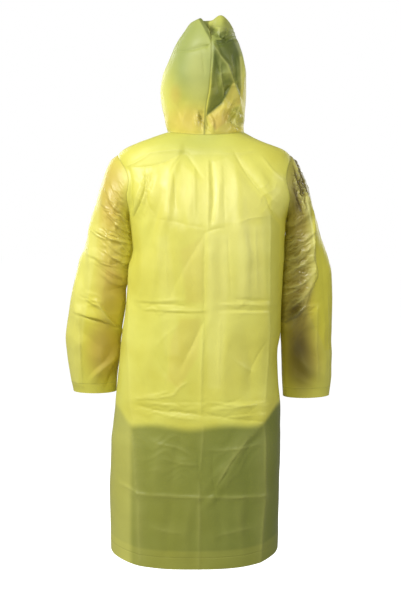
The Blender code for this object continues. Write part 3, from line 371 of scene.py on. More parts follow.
BACK_CRUMPLES = crumples("""
    156 -174 30 56 66 16 5 .8, -160 -180 30 50 -56 26 4 .8, 84 -690 88 40 6 20 6 .9,
    -78 -690 84 40 -6 20 6 .9, -70 -830 66 76 -52 32 4 .9, 84 -800 80 60 -14 32 4 .9,
    100 -440 70 26 1 20 6 .9, -100 -440 66 26 0 20 6 .9, 0 -170 140 80 86 24 5 .35,
    142 -160 22 60 74 10 6 .8, 40 -990 150 66 84 50 4.4 .5, 0 -560 170 90 80 48 5 .5,
    0 -340 160 90 84 44 5 .5
""")
FRONT_CRUMPLES = crumples("""
    140 -170 44 62 -56 32 2.6 1.8, -140 -170 44 62 56 32 2.6 1.8, 96 -690 60 50 6 44 3.2 1.5,
    -92 -690 60 50 -6 44 3.2 1.5, 90 -840 60 80 -30 54 2.4 1.2, -90 -840 60 80 30 54 2.4 1.2
""")
SLEEVE_CRUMPLES = crumples("""
    220 -262 34 96 36 13 4.2 3.4, 212 -200 22 56 52 11 4 2.6, 256 -440 54 70 24 30 4 1.8,
    276 -570 54 70 -40 56 3 1.6, -250 -126 24 74 70 8 4.4 4.4, -240 -340 34 120 -34 9 4 2,
    -244 -470 44 60 -42 22 3.2 1.8, -262 -600 54 60 24 56 2.6 1.4
""")
HOOD_CRUMPLES = crumples("""
    -66 120 34 90 -66 24 3.6 2.2, -78 34 24 34 -52 14 3.4 3, -50 248 36 32 -14 18 3.4 2.8,
    0 30 30 32 78 14 3.4 3, 50 40 54 40 60 40 2.4 1.6, 36 190 54 80 12 60 2.6 .8
""")
CREASE_GAIN = 1.55  # the pressed creases against their tables
CREASE_SLIM = 0.62  # their widths against the tables
TENT_SPREAD = 7.0  # how much wider the tent under a pressed crease is than its ridge
TENT_SHARE = 0.28  # the tent's part of a pressed crease's height
RIDGE_SLOPE = 0.62  # of a soft fold's crisp part
END_REACH = 1.5  # how far a fold dies out past its ends, in widths
END_HEIGHT = 0.45  # a fold swells from near this share of its height at its ends
END_SHARE = 0.08  # how far along the swelling its ends are
PLACE_POWER = 1.4  # how abruptly a crumpled place ends
WRINKLE_BEND = (3.0, 0.35)  # size and amount of the wrinkles' bends, in spacings
WRINKLE_SIZE = 1.6  # size of their field, in spacings
WRINKLE_EDGE = (0.0016, 1.9)  # rounding and slope of their ridges
WANDER = 0.0022  # how far folds stray from their lines
WANDER_SIZE = 0.09
CREASE_WANDER = 0.3  # the pressed creases' share of that
SLACK = ((0.0009, 0.070), (0.00022, 0.026))  # heights and sizes of the film's own unevenness
RELIEF_SHARES = (0.6, 0.2)  # of crumples and soft folds in the relief of sharp folds
SEAM_FADE = 0.012  # folds die out over this next to a seam
SLEEVE_FADES = (0.016, 0.03)  # the same at the armhole and at the cuff
HOOD_FADES = (0.008, 0.02)  # and at the hood's seams and its front edge
SLEEVE_TURN = 1.2  # how fast the folds behind take over from those in front round a sleeve
HOOD_TURN = 0.05  # depth of the hood over which they do


# ---- tones, painted highlights and painted shade
def spots(text):
    """Soft patches where the film's tone departs from its lime yellow, some of them painted highlights and
    painted shade.
    """
    return table("x z reach_x reach_z amount", text)


def facets(text):
    """Flat patches with outlines. Each is a mark, its amount, its edge's softness and, past a
    colon, its corners. Semicolons part the facets."""
    rows = []
    for row in text.split(";"):
        head, corners = row.split(":")
        mark, amount, softness = head.split()
        corners = np.array(corners.replace(",", " ").split(), dtype=float).reshape(-1, 2)
        rows.append((mark, float(amount), float(softness), corners))
    return rows


# The lighter patches are painted sheen where the light falls on the upper back; the greener ones tint the
# film by the neck; the pinch ones crumple it.
BODY_SPOTS = {
    "pale": spots("""
        -60 -180 110 120 .4, 84 -170 70 100 .16, -56 -340 100 120 .4, 90 -330 60 90 .1,
        -60 -540 90 120 .22
    """),
    "sage": spots("70 -20 100 60 .3, -70 -20 110 60 .22, 0 -30 90 50 .08"),
    "pinch": spots("""
        160 -170 40 70 .2, -160 -170 40 60 .075, 84 -700 100 60 .2, -78 -700 90 60 .2,
        -70 -830 70 80 .15
    """),
}
# Most facets are painted light on the lit flanks of folds and by the right armhole; the greener strip down
# the right side is painted shade; the amber ones are tone.
BODY_FACETS = facets("""
    pale .16 9: 110 -84, 94 -90, 70 -150, 64 -240, 84 -252, 104 -180;
    pale .18 8: 56 -92, 36 -104, 14 -130, 12 -236, 38 -246, 50 -180;
    pale .26 7: -22 -84, -56 -72, -76 -90, -84 -160, -76 -232, -26 -236;
    pale .14 12: -92 -120, -140 -176, -138 -220, -98 -236;
    pale .16 14: 112 -270, 86 -262, 70 -420, 60 -560, 96 -560, 110 -420;
    pale .18 12: -14 -262, -60 -262, -58 -400, -40 -640, -12 -640, -6 -430;
    pale .22 16: -84 -236, -150 -240, -150 -420, -84 -420;
    amber .2 14: 56 -300, 4 -270, 2 -430, 44 -430;
    amber .26 14: 58 -470, 8 -470, 14 -560, 60 -640, 90 -620, 80 -520;
    sage .16 8: -140 -222, -166 -214, -190 -240, -186 -520, -160 -520, -150 -330;
    pale .3 10: -172 -104, -214 -120, -214 -190, -192 -226, -166 -196
""")
OLIVE_LEVELS = (-0.722, -0.744)  # the film looks greener from the first level down to the second
OLIVE_DRIFT, OLIVE_DRIFT_SIZE = 0.006, 0.25  # unevenness of these levels
SIDE_RISE = 0.040  # how much higher they are at the side seams
SIDE_START, SIDE_SOFT = 0.155, 0.05  # where beside the middle they rise, and over what width
# Shares of the greener tone: over all, more as painted shade towards the right, less at the turned-up hem,
# and less as painted light on the strip by the left seam.
OLIVE, OLIVE_RIGHT_PAINTED_SHADE, OLIVE_HEM, OLIVE_STRIP_PAINTED_LIGHT = 0.74, 0.15, -0.15, -0.25
RIGHT_START, RIGHT_SOFT = 0.14, 0.30  # x where painted shade makes it greener towards the right, away from the light, and over what
HEM_SOFT = 0.008  # over which the tone changes at the turned-up hem
STRIP_START, STRIP_SOFT, STRIP_DEPTH = 0.172, 0.016, 0.08  # a strip by the left seam with painted light, lighter as the side that faces the light
STRIP_PAINTED_LIGHT = 0.20
SLEEVE_SPOTS = {
    LEFT: {
        "amber": spots("""
            236 -150 40 90 .74, 234 -280 40 90 .5, 238 -400 42 80 .56, 254 -560 46 80 .85
        """),
        "brown": spots("""
            204 -330 14 120 .06, 236 -150 44 70 .09, 240 -500 40 60 .06, 244 -600 38 50 .16
        """),
        "rich": spots("250 -540 70 140 .7"),
        "pinch": spots("216 -270 46 110 .9, 250 -450 50 60 .35"),
    },
    RIGHT: {
        "amber": spots("""
            -238 -190 30 100 .35, -238 -320 36 110 .48, -238 -450 40 90 .6, -250 -580 48 80 .62
        """),
        "brown": spots("""
            -246 -116 38 90 .48, -226 -250 34 80 .32, -232 -370 38 90 .34, -236 -500 42 70 .68,
            -246 -600 44 70 .78
        """),
        "rich": spots("-250 -580 80 110 .7"),
        "pinch": spots("-236 -350 40 120 1, -250 -130 24 70 1, -246 -480 44 50 .4"),
    },
}
# The lighter facets are painted light: the left sleeve's outer side, which faces the light, and a painted
# highlight along the right sleeve's long fold. The dark facet inside that fold is partly a browner tone and
# partly painted shade.
SLEEVE_FACETS = {
    LEFT: facets("""
        pale .26 8: 258 -148, 276 -329, 304 -484, 325 -651, 400 -651, 400 -148;
        amber .16 6: 246 -352, 196 -366, 196 -440, 228 -492, 262 -442
    """),
    RIGHT: facets("""
        brown .32 4: -196 -46, -232 -46, -250 -86, -266 -133, -274 -190, -273 -246, -281 -303,
          -281 -362, -271 -406, -258 -448, -237 -473, -209 -489, -196 -489;
        pale .55 3: -255 -168, -260 -166, -276 -246, -281 -300, -277 -300, -269 -236;
        rich .85 5: -262 -170, -273 -246, -283 -303, -283 -362, -273 -408, -260 -450, -272 -480,
          -300 -530, -310 -560, -400 -560, -400 -170
    """),
}
# Where the right sleeve's ridges get stronger painted highlights and its hollows stronger painted shade.
SLEEVE_PAINTED_GLINT_AND_SHADE = facets("""
    gloss .55 8: -205 -50, -232 -50, -250 -86, -266 -133, -276 -182, -264 -212, -205 -212;
    gloss .46 8: -196 -212, -266 -212, -278 -300, -278 -362, -256 -444, -196 -480
""")
PAINTED_GLINT_AND_SHADE_SHARES = (0.5, 0.7)  # how much lighter the painted highlights on its ridges and darker the painted shade in its hollows are there
# The lighter patch on the left is painted sheen, and the greener one at the top of the right half is painted
# shade.
HOOD_SPOTS = {
    LEFT: {
        "sage": spots("40 240 112 110 .96, 10 124 78 70 .62"),
        "amber": spots("40 28 70 40 .62, 74 96 15 26 .45"),
        "pale": spots("14 150 34 76 .26"),
        "pinch": spots("6 36 20 34 .8, 40 214 50 14 .2"),
    },
    RIGHT: {
        "sage": spots("-46 216 74 96 .95"),
        "amber": spots("-56 16 60 40 .46, -98 100 12 50 .35"),
        "olive": spots("-60 222 44 50 .4"),
        "pinch": spots("-84 36 26 44 1, -64 130 36 90 .5, -52 246 36 34 .8"),
    },
}
# The thin lighter facets are painted highlights along ridges; the greener and dark ones are painted shade on
# the facets that face away from the light, in the hollow beside the crown and in creases low down; the amber
# one is tone.
HOOD_FACETS = facets("""
    pale .5 2: -97 86, -101 84, -84 38, -74 20, -72 24, -80 40;
    pale .5 2: -60 38, -62 34, -92 12, -90 17;
    pale .5 2: -75 36, -79 36, -86 14, -82 14;
    olive .66 5: -25 232, -43 194, -59 174, -76 132, -60 98, -46 75, -6 43, -11 83, -18 115, -22 160,
      -24 186;
    olive .18 10: -76 132, -56 115, -56 83, -46 72, -8 46, -18 89, -46 128, -66 141;
    olive .72 7: -30 240, -50 240, -76 238, -90 205, -97 166, -97 120, -92 92, -79 132, -62 176, -44 200;
    olive .7 4: 15 296, -17 298, -11 279, -12 262, -19 238, -15 240;
    brown .55 5: 15 296, -12 298, -11 279, -12 262, -17 242;
    olive .4 8: -14 276, -34 266, -44 250, -32 244, -18 250;
    olive .3 5: -40 248, -74 240, -76 234, -46 234;
    olive .32 8: -70 62, -92 68, -106 31, -92 10, -58 30;
    brown .3 5: 16 46, 4 44, -6 10, 2 10, 10 24;
    pale .4 3: -92 196, -97 196, -100 112, -96 112;
    amber .44 6: -76 132, -96 76, -72 60, -60 30, -30 6, -6 40, -46 74, -60 96
""")
HOOD_SEAM_SHADE, HOOD_SEAM_OLIVE = 0.004, 0.5  # width and tone of the shade along the back seam
HOOD_SEAM_END = 0.8  # share of the rows from the neck that have it
RELIEF = 0.002  # the height of a ridge at which its painted highlight is as strong as these shares say, and the depth of a hollow for its painted shade
# Shares of painted highlight on ridges, and of painted shade in hollows of the body, sleeves and hood.
RIDGE_PAINTED_HIGHLIGHT = 0.16
HOLLOW_PAINTED_SHADE = {"body": 0.06, "sleeve": 0.10}
HOOD_HOLLOW_PAINTED_SHADE = 0.20
FAR_MM = 50.0  # stands for no seam or weld near


# ---- curves and fields
def smooth(knots, values, at):
    """Cubic through the knots that doesn't overshoot between them."""
    step = np.diff(knots)
    slope = np.diff(values) / step
    before, after = slope[:-1], slope[1:]
    same_sign = before * after > 0
    total = np.where(same_sign, before + after, 1.0)
    middle = np.where(same_sign, 2 * before * after / total, 0.0)
    tangent = np.concatenate(([slope[0]], middle, [slope[-1]]))
    place = np.clip(np.searchsorted(knots, at, side="right") - 1, 0, len(step) - 1)
    t = (np.clip(at, knots[0], knots[-1]) - knots[place]) / step[place]
    start = (1 + 2 * t) * (1 - t) ** 2 * values[place] + t**2 * (3 - 2 * t) * values[place + 1]
    bend = t * (1 - t) ** 2 * tangent[place] - t**2 * (1 - t) * tangent[place + 1]
    return start + bend * step[place]


def look_up(rows, at):
    """Every named column of a table at a value of its first column."""
    first, *names = rows.dtype.names
    return {name: smooth(rows[first], rows[name], at) for name in names}


def ease(value):
    """0 below 0 and 1 above 1, with a soft start and end."""
    t = np.clip(value, 0.0, 1.0)
    return t * t * (3 - 2 * t)


def lengths(line):
    """Distance along a line at each of its points."""
    return np.concatenate(([0.0], np.cumsum(np.linalg.norm(np.diff(line, axis=0), axis=1))))


def points_at(line, distance):
    """Points of a line at these distances along it."""
    along = lengths(line)
    return np.stack([np.interp(distance, along, line[:, i]) for i in range(3)], axis=1)


def divide(line, count):
    """The line again, as count equal stretches."""
    return points_at(line, np.linspace(0.0, lengths(line)[-1], count + 1))


def ripple(x, z, size, seed, waves=11):
    """Smooth uneven field, mostly between -1 and 1, with humps of about this size."""
    chance = np.random.default_rng(seed)
    total = np.zeros_like(x)
    for turn, phase, pace in chance.uniform((0, 0, 0.6), (math.pi, 2 * math.pi, 1.6), (waves, 3)):
        run = x * math.cos(turn) + z * math.sin(turn)
        total += np.sin(2 * math.pi * pace * run / size + phase)
    return total / 3.3  # near the square root of the number of waves


def unevenness(points, size, seed):
    """The same at points in space. A seed moves them to another part of the noise."""
    places = points.reshape(-1, 3) / size + np.array((0.37, 0.71, 0.13)) * seed
    return 1.6 * np.array([noise.noise(place) for place in places.tolist()]).reshape(points.shape[:-1])


def as_seen(grid):
    """Where the photo shows points of a grid, on the plane through the coat's middle."""
    seen = CAMERA_DISTANCE / (CAMERA_DISTANCE - grid[..., 1])
    return grid[..., 0] * seen, CAMERA_HEIGHT + (grid[..., 2] - CAMERA_HEIGHT) * seen


def distance_to(grid, edges):
    """Distance from each point of a grid to the nearest point of some edge lines."""
    line = np.concatenate([divide(edge, EDGE_STRETCHES) for edge in edges])
    tree = KDTree(len(line))
    for i, point in enumerate(line):
        tree.insert(point, i)
    tree.balance()
    return np.array([tree.find(point)[2] for point in grid.reshape(-1, 3)]).reshape(grid.shape[:2])


# ---- the coat's body
def armhole_angle(level, side):
    """Angle of an armhole's edge on the section at this level, 0 where there is no armhole."""
    height = (level - ARMHOLE_MIDDLE) / ARMHOLE_HALF
    if abs(height) >= 1 - 1e-9:
        return 0.0
    section = look_up(BODY, level)
    reach = ARMHOLE_REACH * math.sqrt(1 - height**2) / section[FACES[side]]
    return math.asin(reach ** (section["squareness"] / 2))


def even_out(level):
    """Lift in the middle of a row beside the armholes, which spaces these rows evenly there."""
    height = (level - ARMPIT_LEVEL) / (2 * ARMHOLE_HALF)
    if not 0 < height < 1:
        return 0.0
    return (math.acos(1 - 2 * height) / math.pi - height) * 2 * ARMHOLE_HALF


def section_line(level, side, start=0.0):
    """Fine line round the back or front of one section, from the wearer's left to right."""
    angle = np.linspace(start, math.pi - start, FINE)
    sine, cosine = np.sin(angle), np.cos(angle)
    sine[[0, -1]] = 0.0 if start == 0 else math.sin(start)
    yoke = YOKE_DROP[side] * ease(1 + (level - SHOULDER_LEVEL) / YOKE_FADE)
    hem = HEM_DIP[side] * ease((HEM_LEVEL + HEM_FADE - level) / HEM_FADE)
    z = level + (even_out(level) - yoke) * sine**2 - hem * sine**HEM_CURVE
    section = look_up(BODY, z)
    power = 2 / section["squareness"]
    x = section["middle"] + section["half_width"] * np.sign(cosine) * np.abs(cosine) ** power
    return np.stack([x, side * section[FACES[side]] * sine**power, z], axis=1)


def neckline(side):
    """Fine line of the neckline behind or in front, from the wearer's left to right."""
    angle = np.linspace(0.0, math.pi, FINE)
    sine = np.sin(angle)
    sine[[0, -1]] = 0.0
    x = NECK_MIDDLE + NECK_HALF_WIDTH * np.cos(angle)
    return np.stack([x, side * NECK_DEPTH[side] * sine, -NECK_DROP[side] * sine**2], axis=1)


def row_line(level, side):
    """Fine line of one row of the body, which above the armholes leads up to the neckline."""
    if level <= SHOULDER_LEVEL:
        return section_line(level, side)
    share = 1 - level / SHOULDER_LEVEL
    low = divide(section_line(SHOULDER_LEVEL, side), FINE - 1)
    high = divide(neckline(side), FINE - 1)
    line = low + (high - low) * share
    beside = np.sin(np.linspace(0.0, 2 * math.pi, FINE)) ** 2
    seams = np.linspace(SHOULDER_ROUND[LEFT], SHOULDER_ROUND[RIGHT], FINE)
    line[:, 2] += (seams + YOKE_ROUND * beside) * math.sin(math.pi * share)
    line[:, 2] += SHOULDER_TURN * share * (1 - share) ** 4
    return line


def armhole_cut(level, side, line):
    """Length of a row's line that the armhole takes from each end."""
    start = armhole_angle(level, side)
    if start == 0:
        return 0.0, 0.0
    ends = section_line(level, side, start)[[0, -1]]
    along = lengths(line)
    left, right = np.interp(-ends[:, 0], -line[:, 0], along)
    return left, along[-1] - right


def make_room(stations, span, cut):
    """Stations along a row moved off its first cut metres, the further ones less."""
    keep = ARMHOLE_SHARE * span
    return np.where(stations < keep, cut + (keep - cut) * stations / keep, stations)


def row_levels():
    """Levels of the body's rows, from the hem to the neckline."""
    below = np.linspace(HEM_LEVEL, ARMPIT_LEVEL, BODY_ROWS + 1)[:-1]
    armhole = ARMHOLE_MIDDLE + ARMHOLE_HALF * np.cos(np.linspace(math.pi, 0.0, ARMHOLE_ROWS + 1))
    armhole[0], armhole[-1] = ARMPIT_LEVEL, SHOULDER_LEVEL
    yoke = np.linspace(SHOULDER_LEVEL, 0.0, YOKE_ROWS + 1)[1:]
    return [float(level) for level in (*below, *armhole, *yoke)]


def back_grid():
    """Outer face of the back, a row for each level."""
    rows = []
    for level in row_levels():
        line = row_line(level, BACK)
        span = lengths(line)[-1]
        left, right = armhole_cut(level, BACK, line)
        stations = make_room(np.linspace(0.0, span, BACK_COLUMNS + 1), span, left)
        stations = span - make_room(span - stations, span, right)
        rows.append(points_at(line, stations))
    return np.array(rows)


def beside_middle(points):
    """Distance of points from the coat's own middle, which leans a little from top to hem."""
    return points[..., 0] - smooth(BODY["level"], BODY["middle"], points[..., 2])


def front_grid(side):
    """Outer face of one front, from its side seam to its edge past the middle."""
    rows = []
    for level in row_levels():
        line = row_line(level, FRONT)
        left, right = armhole_cut(level, FRONT, line)
        if side == RIGHT:
            line = line[::-1]
        along = lengths(line)
        across = -side * beside_middle(line)
        low, high = np.interp((-LAPEL_REACH, OVERLAP), across, along)
        if side == RIGHT:
            high -= UNDERLAP_SHORT
        cut = left if side == LEFT else right
        main = make_room(np.linspace(0.0, low, FRONT_COLUMNS + 1), along[-1], cut)
        lapel = np.linspace(low, high, LAPEL_COLUMNS + 1)[1:]
        rows.append(points_at(line, np.concatenate((main, lapel))))
    return np.array(rows)


# ---- folded film
def grid_normals(grid, closed):
    """Outward direction at each point of a grid, the mean of that of the faces round it."""
    sheet = np.concatenate((grid[:, -1:], grid, grid[:, :1]), axis=1) if closed else grid
    face = np.cross(sheet[1:, 1:] - sheet[:-1, :-1], sheet[1:, :-1] - sheet[:-1, 1:])
    face /= np.maximum(np.linalg.norm(face, axis=2, keepdims=True), TINY)
    face = np.pad(face, ((1, 1), (0, 0) if closed else (1, 1), (0, 0)), mode="edge")
    normal = face[1:, 1:] + face[1:, :-1] + face[:-1, 1:] + face[:-1, :-1]
    normal /= np.maximum(np.linalg.norm(normal, axis=2, keepdims=True), TINY)
    outward = np.sum(normal * (grid - grid.mean(axis=(0, 1))))
    return normal if outward > 0 else -normal


def fold_field(rows, x, z, crisp=None, slim=1.0):
    """Height of a table's folds at points. Without crisp they are pressed creases."""
    x, z = x / MM, z / MM
    height = np.zeros_like(x)
    for x0, z0, x1, z1, bow, width, skew, depth in rows:
        length = math.hypot(x1 - x0, z1 - z0)
        run_x, run_z = (x1 - x0) / length, (z1 - z0) / length
        along = (x - x0) * run_x + (z - z0) * run_z
        inside = np.clip(along, 0.0, length)
        share = inside / length
        aside = (z - z0) * run_x - (x - x0) * run_z - 4 * bow * share * (1 - share)
        flank = slim * width * np.where(aside > 0, 1 + skew, 1 - skew)
        away = np.hypot(aside / flank, (along - inside) / (END_REACH * width))
        if crisp is None:
            tent = np.clip(1 - away / TENT_SPREAD, 0, 1)
            profile = (1 - TENT_SHARE) * np.exp(-away) + TENT_SHARE * tent
        else:
            ridge = np.clip(1 - RIDGE_SLOPE * away, 0, 1)
            profile = (1 - crisp) * np.exp(-(away**2)) + crisp * ridge
        swell = np.sin(math.pi * (END_SHARE + (1 - 2 * END_SHARE) * share))
        height += depth * profile * (END_HEIGHT + (1 - END_HEIGHT) * swell)
    return height * MM


def crumpled(rows, x, z, seed):
    """Height of sharp, long wrinkles in the places of a table."""
    height = np.zeros_like(x)
    for i, (mid_x, mid_z, reach_x, reach_z, turn, spacing, stretch, tall) in enumerate(rows):
        u, v = x / MM - mid_x, z / MM - mid_z
        inside = np.exp(-(((u / reach_x) ** 2 + (v / reach_z) ** 2) ** PLACE_POWER))
        cosine, sine = math.cos(math.radians(turn)), math.sin(math.radians(turn))
        along, across = u * cosine + v * sine, v * cosine - u * sine
        own = seed + 7 * i
        bend = WRINKLE_BEND[1] * spacing * ripple(along, across, WRINKLE_BEND[0] * spacing, own)
        field = ripple(along / stretch, across + bend, WRINKLE_SIZE * spacing, own + 3)
        edge = 1 - np.sqrt(field**2 + WRINKLE_EDGE[0]) * WRINKLE_EDGE[1]
        height += tall * MM * inside * np.clip(edge, -1, 1) / 2
    return height


def folded(grid, drapes, creases, places, fade, closed=False, seed=1, gain=1.25, crisp=0.7, seen=False):
    """A grid with its folds and the film's own unevenness, and the relief of its sharp folds for painted
    highlights and painted shade.
    """
    x, z = as_seen(grid) if seen else (grid[..., 0], grid[..., 2])
    stray_x, stray_z = [WANDER * ripple(x, z, WANDER_SIZE, seed + i) for i in range(2)]
    soft = fold_field(drapes, x + stray_x, z + stray_z, crisp)
    stray_x, stray_z = CREASE_WANDER * stray_x, CREASE_WANDER * stray_z
    fine = fold_field(creases, x + stray_x, z + stray_z, slim=CREASE_SLIM)
    slack = sum(tall * unevenness(grid, size, seed + 2 + i) for i, (tall, size) in enumerate(SLACK))
    rough = crumpled(places, x, z, seed + 4)
    height = (gain * soft + CREASE_GAIN * fine + rough + slack) * fade
    relief = (fine + RELIEF_SHARES[0] * rough + RELIEF_SHARES[1] * np.maximum(soft, 0)) * fade
    return grid + grid_normals(grid, closed) * height[..., None], relief


def turned_up(grid, marks, depth, closed=False):
    """A grid whose first rows are also turned up inside, as a hem or cuff is."""
    away = np.cumsum(np.linalg.norm(np.diff(grid, axis=0), axis=2).mean(axis=1))
    count = int(np.searchsorted(away, depth)) + 1
    inner = grid - grid_normals(grid, closed) * TURN_UP_GAP
    inner[0] = (grid[0] + inner[0]) / 2
    order = list(range(count, 0, -1))
    marks = {name: np.concatenate((values[order], values)) for name, values in marks.items()}
    return np.concatenate((inner[order], grid)), marks


def fade_to(seam, reach=SEAM_FADE):
    return ease(seam / reach)


# ---- marks for the material
def plain_marks(grid):
    """Marks of a piece with no change of tone."""
    zero = np.zeros(grid.shape[:2])
    far = np.full(grid.shape[:2], FAR_MM)
    return {**{name: zero for name in (*TONES, "pinch")}, "seam_mm": far, "weld_mm": far}


def patches(rows, x, z):
    """Sum of the soft patches of a table at points."""
    total = np.zeros_like(x)
    for middle_x, middle_z, reach_x, reach_z, amount in rows:
        away = ((x / MM - middle_x) / reach_x) ** 2 + ((z / MM - middle_z) / reach_z) ** 2
        total += amount * np.exp(-(away**1.5))
    return total


def facet_sums(rows, x, z):
    """Each mark's sum of its facets at points."""
    x, z = x / MM, z / MM
    totals = {}
    for mark, amount, softness, corners in rows:
        far = np.full(x.shape, np.inf)
        inside = np.zeros(x.shape, dtype=bool)
        for (ax, az), (bx, bz) in zip(corners, np.roll(corners, -1, axis=0)):
            run_x, run_z = bx - ax, bz - az
            at = np.clip(((x - ax) * run_x + (z - az) * run_z) / (run_x**2 + run_z**2), 0, 1)
            far = np.minimum(far, np.hypot(x - ax - at * run_x, z - az - at * run_z))
            if run_z != 0:
                inside ^= ((az > z) != (bz > z)) & (x < ax + (z - az) * run_x / run_z)
        shown = amount * ease(0.5 + np.where(inside, far, -far) / softness)
        totals[mark] = totals.get(mark, 0.0) + shown
    return totals


def toned(marks, patch_rows, facet_rows, x, z):
    """Marks with a piece's soft patches and facets added."""
    sums = {name: patches(rows, x, z) for name, rows in patch_rows.items()}
    for name, total in facet_sums(facet_rows, x, z).items():
        sums[name] = sums.get(name, 0.0) + total
    return {**marks, **{name: np.clip(marks[name] + total, 0, 1) for name, total in sums.items()}}


def body_marks(grid, edges, relief):
    """Tone, painted highlight, painted shade and weld marks of a body panel."""
    x, y, z = np.moveaxis(grid, -1, 0)
    marks = plain_marks(grid)
    rise = SIDE_RISE * ease((np.abs(beside_middle(grid)) - SIDE_START) / SIDE_SOFT)
    drift = OLIVE_DRIFT * ripple(x, z, OLIVE_DRIFT_SIZE, 31) + rise
    lower = ease((OLIVE_LEVELS[0] - z + drift) / (OLIVE_LEVELS[0] - OLIVE_LEVELS[1]))
    above = distance_to(grid, [grid[0]])
    hem = ease((HEM_TURN_UP + HEM_SOFT / 2 - above) / HEM_SOFT)
    right = ease((RIGHT_START - x) / RIGHT_SOFT)
    painted_light_strip = ease((x - STRIP_START) / STRIP_SOFT) * ease(1 + y / STRIP_DEPTH)
    # Greener towards the hem, more as painted shade towards the right, away from the light, and less on the
    # strip by the left seam, which has painted light.
    marks["olive"] = lower * (OLIVE + OLIVE_RIGHT_PAINTED_SHADE * right + OLIVE_HEM * hem + OLIVE_STRIP_PAINTED_LIGHT * painted_light_strip)
    # Painted highlights on ridges and painted light on that strip, and painted shade in hollows.
    marks["pale"] = RIDGE_PAINTED_HIGHLIGHT * np.clip(relief / RELIEF, 0, 1) + STRIP_PAINTED_LIGHT * painted_light_strip * lower
    marks["brown"] = HOLLOW_PAINTED_SHADE["body"] * np.clip(-relief / RELIEF, 0, 1)
    marks = toned(marks, BODY_SPOTS, BODY_FACETS, x, z)
    marks["seam_mm"] = distance_to(grid, edges) / MM
    marks["weld_mm"] = np.abs(above - HEM_WELD) / MM
    return marks


# ---- objects
def add_object(name, data):
    thing = bpy.data.objects.new(name, data)
    bpy.context.scene.collection.objects.link(thing)
    return thing


def add_piece(name, data, material, sharp, node):
    """Softly shaded piece with one material, in place of its node. sharp is in degrees."""
    data.shade_smooth()
    data.set_sharp_from_angle(angle=math.radians(sharp))
    data.materials.append(material)
    piece = add_object(name, data)
    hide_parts(node)
    return piece


def add_sheet(name, grid, marks, material, node, slot, closed=False):
    """Thin shell on a grid of points. marks are named values at the points for the material."""
    index = np.arange(grid.shape[0] * grid.shape[1]).reshape(grid.shape[:2])
    if closed:
        index = np.concatenate((index, index[:, :1]), axis=1)
    quads = np.stack([index[:-1, :-1], index[:-1, 1:], index[1:, 1:], index[1:, :-1]], axis=-1)
    data = bpy.data.meshes.new(name)
    data.from_pydata(grid.reshape(-1, 3).tolist(), [], quads.reshape(-1, 4).tolist())
    for mark, values in marks.items():
        layer = data.attributes.new(mark, "FLOAT", "POINT")
        layer.data.foreach_set("value", np.ascontiguousarray(values.reshape(-1), dtype=np.float32))
    piece = add_piece(name, data, material, 75, node)
    return piece


# ---- materials
LIME = (0.79, 0.765, 0.140, 1.0)
DEEP = (0.73, 0.685, 0.100, 1.0)
WELD = (0.30, 0.29, 0.050, 1.0)
WHITE = (1.0, 1.0, 1.0, 1.0)
TONES = {  # each lies over those before it
    "rich": (0.80, 0.745, 0.060, 1.0),
    # Greener tone of the hood and by the neck, and painted shade down the right side of the back.
    "sage": (0.345, 0.40, 0.100, 1.0),
    "amber": (0.68, 0.50, 0.10, 1.0),
    # Darkens the film: painted shade in hollows, in the hood's pocket and inside the right sleeve's long
    # fold, and a browner tone on the sleeves.
    "brown": (0.155, 0.118, 0.024, 1.0),
    # Greener tone towards the hem, and painted shade towards the right, in hollows, and on the hood's facets
    # and pocket away from the light.
    "olive": (0.150, 0.186, 0.030, 1.0),
    # Painted light: highlights on ridges, sheen on the upper back and hood, and lit facets and strips on the
    # sides that face the light.
    "pale": (0.90, 0.865, 0.28, 1.0),
}


